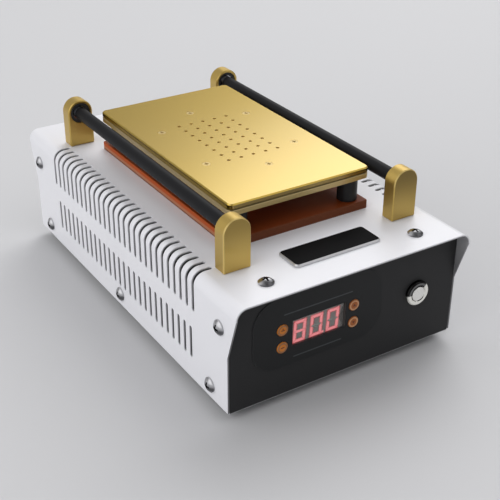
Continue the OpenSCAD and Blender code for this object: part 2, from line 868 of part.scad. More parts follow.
module start_button_cap() {
    edge = cap_edge;
    high = bezel_h + cap_out;
    color([0.8, 0.8, 0.82]) on_front(button_at, button_zz) {
        rotate_extrude() difference() {
            translate([0, cap_low]) square([cap_d / 2, high - cap_low]);
            difference() {
                translate([cap_d / 2 - edge, high - edge]) square([edge + cut, edge + cut]);
                translate([cap_d / 2 - edge, high - edge]) circle(r = edge);
            }
        }
        translate([0, 0, cap_low - stem_l]) cylinder(d = stem_d, h = stem_l + cut / 2);
    }
}

// Points of the return spring: a round wire wound round the cap's stem
spring_turns = 5;
spring_steps = 16;
spring_sides = 8;
wire_r = 0.4;
spring_r = chamber_d / 2 - wire_r - 0.6;
spring_z0 = wire_r + 0.05 - chamber_h;
spring_z1 = cap_low - wire_r - 0.05;
spring_n = spring_turns * spring_steps;
function spring_ring(i) = [for (k = [0 : spring_sides - 1])
    let (a = 360 * i / spring_steps, b = 360 * k / spring_sides, r = spring_r + wire_r * cos(b))
    [r * cos(a), r * sin(a), spring_z0 + (spring_z1 - spring_z0) * i / spring_n + wire_r * sin(b)]];

module start_button_spring() {
    points = [for (i = [0 : spring_n]) each spring_ring(i)];
    walls = [for (i = [0 : spring_n - 1], k = [0 : spring_sides - 1])
        let (a = i * spring_sides + k, b = i * spring_sides + (k + 1) % spring_sides)
        [a, a + spring_sides, b + spring_sides, b]];
    ends = [[for (k = [0 : spring_sides - 1]) k],
        [for (k = [0 : spring_sides - 1]) spring_n * spring_sides + spring_sides - 1 - k]];
    color("silver") on_front(button_at, button_zz) polyhedron(points = points, faces = concat(walls, ends));
}

// One bracket: a slab with a half-round top and eased edges, its outer face at zero
module bracket() {
    w = bracket_w;
    t = bracket_t;
    c = bracket_ease;
    color([0.78, 0.66, 0.36]) difference() {
        union() {
            // The straight part, with every edge broken, those at its foot too
            intersection() {
                linear_extrude(height = axis_h)
                    polygon([[c - w / 2, 0], [w / 2 - c, 0], [w / 2, c], [w / 2, t - c],
                    [w / 2 - c, t], [c - w / 2, t], [-w / 2, t - c], [-w / 2, c]]);
                rotate([90, 0, 0]) translate([0, 0, -t]) linear_extrude(height = t)
                    polygon([[c - w / 2, 0], [w / 2 - c, 0], [w / 2, c], [w / 2, axis_h],
                    [-w / 2, axis_h], [-w / 2, c]]);
                rotate([90, 0, 90]) linear_extrude(height = w, center = true)
                    polygon([[c, 0], [t - c, 0], [t, c], [t, axis_h], [0, axis_h], [0, c]]);
            }
            translate([0, 0, axis_h]) rotate([-90, 0, 0]) {
                rotate_extrude()
                    polygon([[0, 0], [w / 2 - c, 0], [w / 2, c], [w / 2, t - c], [w / 2 - c, t], [0, t]]);
            }
        }
        translate([0, t, axis_h]) rotate([90, 0, 0]) {
            translate([0, 0, -cut]) cylinder(d = bearing_d + 2 * fit, h = pocket_h + cut);
            cylinder(d = relief_d, h = pocket_h + relief_h);
        }
        for (s = [-1, 1]) {
            translate([s * bracket_screw_dx, t / 2, -cut])
                cylinder(d = stud_d + 2 * screw_fit, h = bite + 1 + cut);
        }
    }
}

// Puts a child at one bracket's outer face: sx and sy are -1 or 1
module at_bracket(sx, sy) {
    translate([sx * rod_x, sy * bracket_y, top_z]) mirror([0, sy > 0 ? 1 : 0, 0]) children();
}

// Places a child on a bearing's axis, its Z towards the middle of the rod
module at_bearing(sx, sy) {
    at_bracket(sx, sy) translate([0, bracket_t - pocket_h, axis_h]) rotate([-90, 0, 0]) children();
}

// Outer rings with the seals that are pressed into them
module bearing_outer_rings() {
    seal_r = race_in + 0.1;
    color([0.12, 0.12, 0.13]) for (sx = [-1, 1], sy = [-1, 1]) {
        at_bearing(sx, sy) rotate_extrude() {
            difference() {
                translate([race_out, 0]) square([bearing_d / 2 - race_out, bearing_w]);
                translate([ball_path, bearing_w / 2]) circle(r = ball_r + ball_gap);
            }
            for (z = [0.3, bearing_w - 0.7]) {
                translate([seal_r, z]) square([race_out - seal_r + 0.1, 0.4]);
            }
        }
    }
}

module bearing_inner_rings(sx) {
    color("silver") for (sy = [-1, 1]) {
        at_bearing(sx, sy) rotate_extrude() difference() {
            translate([shaft_d / 2 + fit, 0]) square([race_in - shaft_d / 2 - fit, bearing_w]);
            translate([ball_path, bearing_w / 2]) circle(r = ball_r + ball_gap);
        }
    }
}

module bearing_balls() {
    color("silver") for (sx = [-1, 1], sy = [-1, 1]) {
        at_bearing(sx, sy) for (i = [0 : ball_n - 1]) {
            rotate([0, 0, i * 360 / ball_n]) translate([ball_path, 0, bearing_w / 2])
                sphere(r = ball_r, $fn = 24);
        }
    }
}

module rod_shaft(sx) {
    color("gray") translate([sx * rod_x, shaft_end, axis_z]) rotate([90, 0, 0])
        cylinder(d = shaft_d, h = 2 * shaft_end);
}

module rod_sleeve(sx) {
    half = bracket_in - sleeve_gap;
    color([0.1, 0.1, 0.12]) translate([sx * rod_x, half, axis_z]) rotate([90, 0, 0]) difference() {
        cylinder(d = shaft_d + 2 * sleeve_t, h = 2 * half);
        translate([0, 0, -cut]) cylinder(d = shaft_d + 2 * fit, h = 2 * half + 2 * cut);
    }
}

module bracket_screws() {
    color("silver") at_corners(rod_x, bracket_y - bracket_t / 2) {
        for (s = [-1, 1]) {
            translate([s * bracket_screw_dx, 0, under_z]) rotate([180, 0, 0]) {
                dome_screw(small_head_d, small_head_h, stud_d, cover_t + bite);
            }
        }
    }
}

module insulating_board() {
    color([0.6, 0.3, 0.15]) difference() {
        translate([0, 0, top_z]) eased_plate(plate_w, plate_l, board_t, 1.5, 0.4);
        translate([0, 0, top_z - cut]) {
            at_corners(post_x, post_y) cylinder(d = stud_d + 0.4, h = board_t + 2 * cut);
            translate([-port_x, -port_y, 0]) cylinder(d = hose_hole, h = board_t + 2 * cut);
            translate([lead_x, lead_y, 0]) cylinder(d = lead_hole, h = board_t + 2 * cut);
        }
    }
}

module posts() {
    c = 0.5;
    r = post_d / 2;
    hole = stud_d / 2 + screw_fit;
    mid = (post_h - 1) / 2;
    color([0.1, 0.1, 0.1]) translate([0, 0, board_top]) at_corners(post_x, post_y) {
        rotate_extrude()
            polygon([[0, mid], [hole, mid], [hole, 0], [r - c, 0], [r, c], [r, post_h - c], [r - c, post_h],
            [hole, post_h], [hole, post_h - mid], [0, post_h - mid]]);
    }
}

module post_screws() {
    color("silver") at_corners(post_x, post_y) translate([0, 0, under_z]) rotate([180, 0, 0]) {
        dome_screw(small_head_d, small_head_h, stud_d, cover_t + board_t + post_h / 2 - 1.5);
    }
}

module post_studs() {
    low = post_h / 2 - 1.5;
    color("silver") at_corners(post_x, post_y) translate([0, 0, lower_z - low])
        cylinder(d = stud_d, h = low + lower_t - 1);
}

module plate_screw_places() {
    at_corners(plate_screw_x, plate_screw_y) children();
    mirrored_y() translate([0, end_screw_y, 0]) children();
}

module heater_plate() {
    run = (hole_cols - 1) * hole_pitch + groove_w;
    span = (hole_rows - 1) * hole_pitch + groove_w;
    color([0.8, 0.7, 0.42]) difference() {
        translate([0, 0, lower_z]) eased_plate(plate_w, plate_l, lower_t, plate_r, 0.4);
        // Air grooves under the rows of holes, joined by one across
        translate([0, 0, seal_z - groove_h]) {
            for (i = [0 : hole_rows - 1]) {
                translate([(i - (hole_rows - 1) / 2) * hole_pitch, 0, 0])
                    block(groove_w, run, groove_h + cut);
            }
            block(span, groove_w, groove_h + cut);
        }
        translate([-port_x, -port_y, lower_z - cut])
            cylinder(d = 8 + 2 * screw_fit, h = lower_t - groove_h + cut);
        translate([0, 0, lower_z - cut]) at_corners(post_x, post_y)
            cylinder(d = stud_d + 2 * screw_fit, h = lower_t - 1 + 0.2 + cut);
        translate([0, 0, lower_z + 0.6]) plate_screw_places()
            cylinder(d = plate_screw_d + 2 * screw_fit, h = lower_t + cut);
    }
}

module heating_mat() {
    color([0.75, 0.35, 0.2]) difference() {
        translate([0, 0, lower_z - mat_t]) linear_extrude(height = mat_t) rounded_rect(mat_w, mat_l, 4);
        translate([-port_x, -port_y, lower_z - mat_t - cut])
            cylinder(d = nipple_hex * 1.155 + 2, h = mat_t + 2 * cut);
        translate([0, switch_y, lower_z - mat_t - cut]) cylinder(d = switch_d + 2, h = mat_t + 2 * cut);
    }
}

module plate_seal() {
    run = (hole_cols - 1) * hole_pitch + 2 * groove_w + 6;
    span = (hole_rows - 1) * hole_pitch + 2 * groove_w + 2;
    color([0.3, 0.25, 0.2]) translate([0, 0, seal_z]) difference() {
        linear_extrude(height = seal_t) difference() {
            rounded_rect(plate_w - 2 * seal_inset, plate_l - 2 * seal_inset, plate_r - 1);
            rounded_rect(span, run, 3);
        }
        translate([0, 0, -cut]) plate_screw_places() cylinder(d = plate_screw_d + 0.4, h = seal_t + 2 * cut);
    }
}

module suction_plate() {
    sink = (plate_head_d - plate_screw_d) / 2;
    color([0.93, 0.83, 0.52]) difference() {
        translate([0, 0, plate_z]) eased_plate(plate_w, plate_l, plate_t, plate_r, plate_ease);
        for (i = [0 : hole_rows - 1], j = [0 : hole_cols - 1]) {
            translate([(i - (hole_rows - 1) / 2) * hole_pitch, (j - (hole_cols - 1) / 2) * hole_pitch, 0]) {
                translate([0, 0, plate_z - cut]) cylinder(d = hole_d, h = plate_t + 2 * cut);
            }
        }
        plate_screw_places() translate([0, 0, plate_z - cut]) {
            cylinder(d = plate_screw_d + 0.4, h = plate_t + 2 * cut);
            translate([0, 0, plate_t + cut - sink - 0.2]) rotate_extrude()
                polygon([[0, 0], [plate_screw_d / 2, 0],
                [plate_head_d / 2 + 0.1, sink + 0.1], [plate_head_d / 2 + 0.1, sink + cut], [0, sink + cut]]);
        }
    }
}

module plate_screws() {
    sink = (plate_head_d - plate_screw_d) / 2;
    long = plate_t + seal_t + lower_t - 0.8;
    color([0.85, 0.75, 0.45]) plate_screw_places() translate([0, 0, plate_z + plate_t]) difference() {
        rotate_extrude() polygon([[0, -long], [plate_screw_d / 2, -long], [plate_screw_d / 2, -sink - 0.1],
            [plate_head_d / 2, -0.1], [0, -0.1]]);
        for (a = [0, 90]) {
            rotate([0, 0, a]) translate([0, 0, -0.9]) block(plate_head_d * 0.55, plate_head_d * 0.15, 2);
        }
    }
}

module temperature_switch() {
    color("silver") translate([0, switch_y, lower_z]) {
        translate([0, 0, -switch_h]) cylinder(d = switch_d, h = switch_h);
        for (s = [-1, 1]) {
            translate([s * 4, 0, -switch_h - 5]) block(0.8, 4, 5.5);
        }
    }
}

module suction_nipple() {
    color([0.8, 0.65, 0.35]) translate([-port_x, -port_y, lower_z]) difference() {
        union() {
            cylinder(d = 8, h = lower_t - groove_h);
            translate([0, 0, -nipple_hex_h]) cylinder(d = nipple_hex * 1.155, h = nipple_hex_h, $fn = 6);
            translate([0, 0, -nipple_hex_h - nipple_l]) cylinder(d = barb_d - 0.6, h = nipple_l + 0.5);
            for (i = [0 : 2]) {
                translate([0, 0, -nipple_hex_h - nipple_l + 1 + 3 * i])
                    cylinder(d1 = barb_d - 0.6, d2 = barb_d, h = 2);
            }
        }
        translate([0, 0, -nipple_hex_h - nipple_l - cut])
            cylinder(d = 3, h = nipple_l + nipple_hex_h + lower_t + 2 * cut);
    }
}

module vacuum_hose() {
    color([0.85, 0.85, 0.8]) translate([-port_x, -port_y, hose_z0]) difference() {
        cylinder(d = hose_d, h = hose_z1 - hose_z0);
        translate([0, 0, -cut]) cylinder(d = hose_bore, h = hose_z1 - hose_z0 + 2 * cut);
    }
}

module heater_lead() {
    low = pcb_top + terminal_h;
    color("ivory") translate([lead_x, lead_y, low]) cylinder(d = lead_d, h = lower_z - mat_t - low);
}

module pump_motor() {
    r = motor_d / 2;
    color("silver") translate([-pump_x, head_y, pump_axis_z]) rotate([-90, 0, 0]) {
        rotate_extrude()
            polygon([[0, 0], [r - 1, 0], [r, 1], [r, motor_l - 2], [r - 2, motor_l], [7, motor_l],
            [7, motor_l + 2.5], [0, motor_l + 2.5]]);
        for (s = [-1, 1]) {
            translate([s * 11, 0, motor_l - 0.5]) block(2.8, 0.6, 5);
        }
    }
}

module pump_head() {
    step = 30;
    flange = 4;
    color([0.15, 0.15, 0.16]) translate([-pump_x, head_y - head_l / 2, head_z]) difference() {
        union() {
            linear_extrude(height = step) rounded_rect(head_w, head_l, 3);
            translate([0, 0, step]) linear_extrude(height = flange) rounded_rect(head_w + 2, head_l, 3);
            translate([0, 0, step + flange]) linear_extrude(height = head_h - step - flange)
                rounded_rect(head_w - 2, head_l - 3, 4);
            for (s = [-1, 1]) {
                translate([s * (pump_x - port_x), head_l / 2 - head_y - port_y, head_h - 0.5])
                    cylinder(d = barb_d, h = barb_h + 0.5);
            }
            at_corners(head_w / 2 - 5, head_l / 2 - 5.5) translate([0, 0, head_h - 0.5])
                cylinder(d = 5.5, h = 2.5);
        }
        for (s = [-1, 1]) {
            translate([s * (pump_x - port_x), head_l / 2 - head_y - port_y, head_h - 6])
                cylinder(d = 3, h = barb_h + 6 + cut);
        }
    }
}

module pump_cradle() {
    color([0.25, 0.25, 0.27]) translate([-pump_x, cradle_y, head_z - cradle_t]) difference() {
        union() {
            linear_extrude(height = cradle_t) rounded_rect(cradle_w, cradle_l, 4);
            for (y = [clamp_rear_y, clamp_front_y]) {
                translate([0, y, cradle_t + motor_d / 2 + cradle_t]) rotate([-90, 0, 0])
                    cylinder(d = motor_d + 2 * clamp_t, h = clamp_w);
                translate([0, y + clamp_w / 2, cradle_t / 2]) block(motor_d - 6, clamp_w, motor_d / 3);
            }
        }
        translate([0, head_y - cradle_y, cradle_t + motor_d / 2 + cradle_t]) rotate([-90, 0, 0]) {
            cylinder(d = motor_d + 2 * fit, h = cradle_l);
        }
        translate([0, 0, -cut]) at_corners(cradle_w / 2 - 5, cradle_l / 2 - 5)
            cylinder(d = 6 + 2 * screw_fit, h = cradle_t + 2 * cut);
    }
}

// Rubber bushes that carry the cradle, each with its screw down to the floor
module pump_grommets() {
    color([0.12, 0.12, 0.12]) translate([-pump_x, cradle_y, floor_z])
        at_corners(cradle_w / 2 - 5, cradle_l / 2 - 5) difference() {
        union() {
            cylinder(d = 9.6, h = grommet_h);
            cylinder(d = 6, h = grommet_h + cradle_t);
            translate([0, 0, grommet_h + cradle_t]) cylinder(d = 8.4, h = 1.6);
        }
        translate([0, 0, -cut]) cylinder(d = 3.2, h = grommet_h + cradle_t + 4);
    }
}

module power_board() {
    color("darkgreen") translate([board_x, pcb_y, pcb_z]) difference() {
        linear_extrude(height = pcb_t) rounded_rect(pcb_w, pcb_l, 2);
        translate([0, 0, -cut]) at_corners(pcb_hole_x, pcb_hole_y) cylinder(d = 3.2, h = pcb_t + 2 * cut);
    }
}

module power_board_parts() {
    color("steelblue") translate([board_x, pcb_y, pcb_top]) {
        // Relay
        translate([relay_x, -relay_y, 0]) block(relay_w, relay_l, relay_h);
        // Smoothing capacitors
        for (s = [-1, 1]) {
            translate([s * capacitor_d * 0.6 - capacitor_x, capacitor_y, 0])
                cylinder(d = capacitor_d, h = capacitor_h);
        }
        // Heat sink of the power switch
        translate([sink_x, -sink_y, 0]) difference() {
            block(sink_w, sink_l, sink_h);
            for (i = [-1, 0, 1]) {
                translate([sink_fin - 1, i * 2 * sink_fin, sink_fin - 1]) block(sink_w, sink_fin, sink_h);
            }
        }
    }
    // Terminal block at the lead's foot
    color("green") translate([lead_x + terminal_dx, lead_y, pcb_top])
        block(terminal_w, terminal_l, terminal_h);
}

module transformer() {
    color([0.45, 0.4, 0.35]) translate([board_x + core_x, pcb_y + core_y, pcb_top]) {
        block(core_w, core_l, core_h);
        translate([0, 0, coil_z]) block(coil_w, coil_l, coil_h);
    }
}

module power_board_spacers() {
    color("silver") translate([board_x, pcb_y, floor_z]) at_corners(pcb_hole_x, pcb_hole_y) {
        cylinder(d = 5.5, h = spacer_h);
        cylinder(d = 3, h = spacer_h + pcb_t + 0.2);
        translate([0, 0, spacer_h + pcb_t]) dome_screw(5.6, 2, 3, 0.1);
    }
}

// The socket's outline: a rectangle with two corners cut off
module socket_shape(w, h) {
    c = 4;
    polygon([[-w / 2, -h / 2], [w / 2, -h / 2], [w / 2, h / 2 - c], [w / 2 - c, h / 2],
        [c - w / 2, h / 2], [-w / 2, h / 2 - c]]);
}

module mains_inlet() {
    pin_t = 2;
    pin_w = 4;
    pin_x = 7;
    pin_y = 2;
    color([0.1, 0.1, 0.1]) on_rear(-inlet_at, inlet_zz) {
        difference() {
            union() {
                eased_plate(inlet_w, inlet_h, inlet_flange_t, 3, 0.6);
                translate([0, 0, -inlet_body_d]) linear_extrude(height = inlet_body_d + cut)
                    rounded_rect(inlet_body_w, inlet_body_h, 1.5);
            }
            translate([0, socket_y, -socket_d]) linear_extrude(height = socket_d + inlet_flange_t + cut)
                socket_shape(socket_w, socket_h);
            translate([-drawer_w / 2 - free, drawer_y - drawer_h / 2 - free, -drawer_d - free]) {
                cube([drawer_w + 2 * free, drawer_h + 2 * free, drawer_d + inlet_flange_t + cut + free]);
            }
        }
        // Three blades
        translate([0, socket_y + pin_y, -socket_d - cut]) block(pin_t, pin_w, socket_d - 1 + cut);
        for (s = [-1, 1]) {
            translate([s * pin_x, socket_y - pin_y, -socket_d - cut]) block(pin_t, pin_w, socket_d - 3 + cut);
        }
    }
}

module fuse_drawer() {
    bed = fuse_d + 2 * fit;
    color([0.13, 0.13, 0.13]) on_rear(-inlet_at, inlet_zz) translate([0, drawer_y, 0]) difference() {
        union() {
            translate([0, 0, -drawer_d]) block(drawer_w, drawer_h, drawer_d + inlet_flange_t + free);
            translate([0, 0, inlet_flange_t + free])
                block(drawer_w + 2 * drawer_rim, drawer_h + drawer_rim, drawer_lip);
        }
        translate([0, 0, drawer_floor - drawer_d]) block(fuse_l + 2 * fit, bed, bed);
        translate([0, -drawer_h / 2, drawer_floor - drawer_d])
            block(fuse_l - 2 * drawer_floor, drawer_h, bed);
    }
}

module fuse() {
    color("white") on_rear(-inlet_at, inlet_zz)
        translate([-fuse_l / 2, drawer_y, drawer_floor - drawer_d + fuse_d / 2 + fit]) {
        rotate([0, 90, 0]) cylinder(d = fuse_d, h = fuse_l);
    }
}

module rocker_housing() {
    well_l = switch_in_l - 2 * well_wall;
    color([0.1, 0.1, 0.1]) on_rear(-rocker_at, inlet_zz) {
        difference() {
            union() {
                eased_plate(switch_w, switch_l, switch_flange_t, switch_flange_t, switch_flange_t / 4);
                translate([0, 0, -switch_in_d])
                    block(switch_in_w, switch_in_l, switch_in_d + switch_flange_t / 2);
            }
            translate([0, 0, -well_d]) block(rocker_w + 2 * free, well_l, well_d + switch_flange_t + cut);
            translate([0, 0, pivot_z]) rotate([0, 90, 0])
                cylinder(d = rocker_pin_d + 0.08, h = switch_in_w - 2 * pin_wall, center = true);
        }
        for (s = [-1, 1]) {
            translate([0, s * tab_y, 0.5 - switch_in_d - tab_l]) block(tab_w, tab_t, tab_l);
        }
    }
}

module rocker() {
    half = rocker_l / 2;
    color([0.12, 0.12, 0.12]) on_rear(-rocker_at, inlet_zz) translate([0, 0, pivot_z])
        rotate([rocker_tilt, 0, 0]) {
        rotate([90, 0, 90]) linear_extrude(height = rocker_w, center = true) {
            polygon([[-half, 0.6], [-half, 4], [0, 3], [half, 4], [half, 0.6], [2.5, -4.5], [-2.5, -4.5]]);
        }
        rotate([0, 90, 0]) cylinder(d = rocker_pin_d, h = rocker_w + 2, center = true);
    }
}

cover();
base_tray();
feet();
foot_screws();
cover_top_screws();
cover_side_screws();
badge_plate();
control_overlay();
display_window();
display_module();
controller_board();
controller_standoffs();
tact_switches();
key(-1, 1);  // key_upper_left
key(-1, -1);  // key_lower_left
key(1, 1);  // key_upper_right
key(1, -1);  // key_lower_right
start_button_body();
start_button_nut();
start_button_cap();
start_button_spring();
at_bracket(-1, -1) bracket();  // bracket_front_left
at_bracket(1, -1) bracket();  // bracket_front_right
at_bracket(-1, 1) bracket();  // bracket_rear_left
at_bracket(1, 1) bracket();  // bracket_rear_right
bearing_outer_rings();
bearing_inner_rings(-1);  // bearing_inner_rings_left
bearing_inner_rings(1);  // bearing_inner_rings_right
bearing_balls();
rod_shaft(-1);  // rod_shaft_left
rod_shaft(1);  // rod_shaft_right
rod_sleeve(-1);  // rod_sleeve_left
rod_sleeve(1);  // rod_sleeve_right
bracket_screws();
insulating_board();
posts();
post_screws();
post_studs();
heater_plate();
heating_mat();
plate_seal();
suction_plate();
plate_screws();
temperature_switch();
suction_nipple();
vacuum_hose();
heater_lead();
pump_motor();
pump_head();
pump_cradle();
pump_grommets();
power_board();
power_board_parts();
transformer();
power_board_spacers();
mains_inlet();
fuse_drawer();
fuse();
rocker_housing();
rocker();
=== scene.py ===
"""Looks of the screen separator: finishes for its solids and the fine pieces that go on them."""
import json
import math

import bpy
import numpy as np
from mathutils import Matrix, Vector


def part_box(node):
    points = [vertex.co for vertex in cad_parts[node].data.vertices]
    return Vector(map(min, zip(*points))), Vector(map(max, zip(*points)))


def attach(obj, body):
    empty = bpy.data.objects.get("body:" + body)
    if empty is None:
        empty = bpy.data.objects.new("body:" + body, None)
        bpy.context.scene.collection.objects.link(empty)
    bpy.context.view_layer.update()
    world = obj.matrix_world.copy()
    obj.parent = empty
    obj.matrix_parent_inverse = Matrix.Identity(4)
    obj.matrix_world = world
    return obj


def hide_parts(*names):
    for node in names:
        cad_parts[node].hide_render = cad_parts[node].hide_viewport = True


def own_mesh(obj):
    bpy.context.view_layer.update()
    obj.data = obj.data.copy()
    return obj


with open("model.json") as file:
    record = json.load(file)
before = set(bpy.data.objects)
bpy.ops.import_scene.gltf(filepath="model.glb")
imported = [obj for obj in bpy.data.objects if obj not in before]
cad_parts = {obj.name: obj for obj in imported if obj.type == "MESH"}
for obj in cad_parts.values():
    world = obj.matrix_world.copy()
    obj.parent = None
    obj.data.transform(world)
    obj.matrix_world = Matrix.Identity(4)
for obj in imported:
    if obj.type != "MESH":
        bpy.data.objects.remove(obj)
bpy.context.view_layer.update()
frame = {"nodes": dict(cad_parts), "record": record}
BEHAVIOUR = frame["record"]["behaviour"]

bl_info = {
    "name": "Screen separator looks",
    "version": (1, 0, 0),
    "blender": (4, 5, 0),
    "location": "3D View > Sidebar > Separator",
    "description": "Finishes and fine pieces of a heated screen separator, and its studio",
    "category": "Object",
}

MM = 0.001
BLACK = (0.02, 0.02, 0.02)

# How far prints and marks reach into the face that they lie on, and how far a print stands over it
SUNK = 0.03 * MM
PRINT = 0.02 * MM

# Streaks, roughness, variation, clear layer and bump of the anodised brackets
BRACKET_ANODISING = ((1500, 1500, 90), 0.42, 0.05, 0.3, 0.03)

# Where the photograph's camera stands, and its azimuth, elevation and roll in degrees
CAMERA_SPOT = np.array([-346.9, -575.7, 404.7]) * MM
CAMERA_TURN = (-32.49, 29.34, 0.28)

# The studio's lamps: name, place, width and power
LAMPS = (
    ("key_lamp", (1.2, 0.9, 1.5), 1.3, 8.5),
    ("left_lamp", (-1.7, -0.2, 0.9), 1.2, 4.0),
)

# Brightness of the surroundings at some heights, in degrees
HEIGHTS = ((-90, 0.3), (0, 0.3), (18, 0.33), (28, 0.38), (40, 0.46), (60, 0.5), (90, 0.5))

# Bright and dark lobes: azimuth from +Y towards +X and height in degrees, rim, core and strength
LOBES = (
    (54.0, 43.0, 0.884, 0.92, 1.9),
    (-95.0, 25.0, 0.5, 0.98, 1.2),
    (136.0, 47.0, 0.88, 0.98, 0.4),
    (-150.0, 20.0, 0.3, 0.85, -0.25),
)


def rgb(red, green, blue):
    """A display colour, 0 to 255, as the linear values that shaders take."""
    values = np.array([red, green, blue]) / 255
    return tuple(np.where(values <= 0.04045, values / 12.92, ((values + 0.055) / 1.055) ** 2.4))


def span(node):
    """Lowest and highest corner of a solid as arrays."""
    low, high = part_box(node)
    return np.array(low), np.array(high)


def body_of(node):
    """The body that a solid belongs to: the case or a moving one."""
    return next(body for body, nodes in BEHAVIOUR["bodies"].items() if node in nodes)


# Sizes and colours


def length(name, millimetres, description):
    return bpy.props.FloatProperty(
        name=name, description=description, default=millimetres * MM, min=0, unit="LENGTH", subtype="DISTANCE"
    )


def colour(name, default, description):
    return bpy.props.FloatVectorProperty(
        name=name, description=description, default=default, min=0, max=1, size=3, subtype="COLOR"
    )


class SeparatorSizes(bpy.types.PropertyGroup):
    digit_height: length("Digit height", 15.6, "Height of a digit over its outer bars")
    digit_width: length("Digit width", 9.0, "Width of a digit over its outer bars")
    digit_pitch: length("Digit pitch", 12.85, "Distance from one digit to the next")
    digit_depth: length("Digit depth", 0.8, "Depth of the beds that the bars lie in")
    bar_width: length("Bar width", 1.8, "Width of one bar of a digit")
    bar_gap: length("Bar gap", 0.3, "Gap between two bars of a digit")
    digit_lean: length("Digit lean", 0.95, "How far a digit leans over from its foot to its top")
    point_width: length("Point width", 1.7, "Width of the point beside a digit")
    screw_head: length("Screw head", 10.4, "Width of a domed screw head")
    low_screw_place: length("Low screws", 128, "Distance of the low end screws from the middle")
    ring_width: length("Key ring width", 1.45, "Width of the pale ring on a key")
    border_width: length("Border width", 0.5, "Width of the line round the overlay")
    overlay_corner: length("Overlay corner", 18, "Radius of the overlay's corners")
    stripe_width: length("Stripe width", 0.9, "Width of the stripes on the overlay")
    upper_stripe: length("Upper stripe", 52.8, "Length of the stripe over the display")
    lower_stripe: length("Lower stripe", 37.7, "Length of the stripe under the display")
    spring_wire: length("Spring wire", 0.8, "Thickness of the return spring's wire")
    spring_turns: bpy.props.IntProperty(name="Spring turns", description="Turns of wire", default=5, min=2)
    camera_lens: bpy.props.FloatProperty(name="Lens", description="Focal length in mm", default=72.76)


class SeparatorColours(bpy.types.PropertyGroup):
    cover_white: colour("Cover", rgb(231, 231, 235), "Powder coat of the cover")
    # Painted shade: the grey on the cover's inner face and bare cut edges, painted lighter towards the top as
    # painted light.
    cover_inside: colour("Cover inside", rgb(120, 120, 122), "Inner face of the cover")
    tray_zinc: colour("Tray", rgb(118, 119, 121), "Bare sheet of the tray")
    panel_black: colour("Panels", rgb(42, 42, 43), "Paint of the front and rear panels")
    plate_gold: colour("Upper plate", rgb(205, 172, 62), "Anodised upper plate")
    lower_gold: colour("Lower plate", rgb(192, 169, 115), "Anodised lower plate")
    bracket_gold: colour("Brackets", rgb(203, 173, 94), "Anodised brackets")
    # Painted light: this paler tone goes on the board's long edges, while the ends are painted darker.
    board_edge: colour("Board edge", rgb(176, 78, 27), "Sawn edge of the insulating board")
    board_face: colour("Board face", rgb(128, 58, 22), "Pressed face of the insulating board")
    digit_pink: colour("Digits", rgb(255, 156, 160), "Light of the digits")
    digit_halo: colour("Digit halo", rgb(225, 40, 52), "Light of the digits on the display's face")
    left_key_ring: colour("Left key rings", rgb(160, 108, 66), "Rings left of the display")
    left_key_middle: colour("Left key middles", rgb(212, 126, 34), "Keys left of the display")
    right_key_ring: colour("Right key rings", rgb(206, 150, 106), "Rings right of the display")
    right_key_middle: colour("Right key middles", rgb(168, 92, 30), "Keys right of the display")
    floor_pale: colour("Floor", (0.6, 0.6, 0.61), "Studio floor")


def sizes():
    return bpy.context.scene.separator_sizes


def colours():
    return bpy.context.scene.separator_colours


# Shader maths


class Wire:
    """One output of a material's nodes. Python maths on it adds the Math nodes."""

    def __init__(self, shade, socket):
        self.shade = shade
        self.socket = socket

    def __add__(self, other):
        return self.shade.math("ADD", self, other)

    def __sub__(self, other):
        return self.shade.math("SUBTRACT", self, other)

    def __rsub__(self, other):
        return self.shade.math("SUBTRACT", other, self)

    def __mul__(self, other):
        return self.shade.math("MULTIPLY", self, other)

    def __truediv__(self, other):
        return self.shade.math("DIVIDE", self, other)

    def __abs__(self):
        return self.shade.math("ABSOLUTE", self)

    def __gt__(self, other):
        return self.shade.math("GREATER_THAN", self, other)

    def __lt__(self, other):
        return self.shade.math("LESS_THAN", self, other)

    def over(self, other):
        return self.shade.math("MAXIMUM", self, other)

    def under(self, other):
        return self.shade.math("MINIMUM", self, other)

    def root(self):
        return self.shade.math("SQRT", self)

    def rise(self, low, high):
        """0 below low, 1 above high, and smooth in between."""
        values = {"Value": self, "From Min": low, "From Max": high}
        return self.shade.node("ShaderNodeMapRange", {"interpolation_type": "SMOOTHSTEP"}, values)

    __radd__ = __add__
    __rmul__ = __mul__


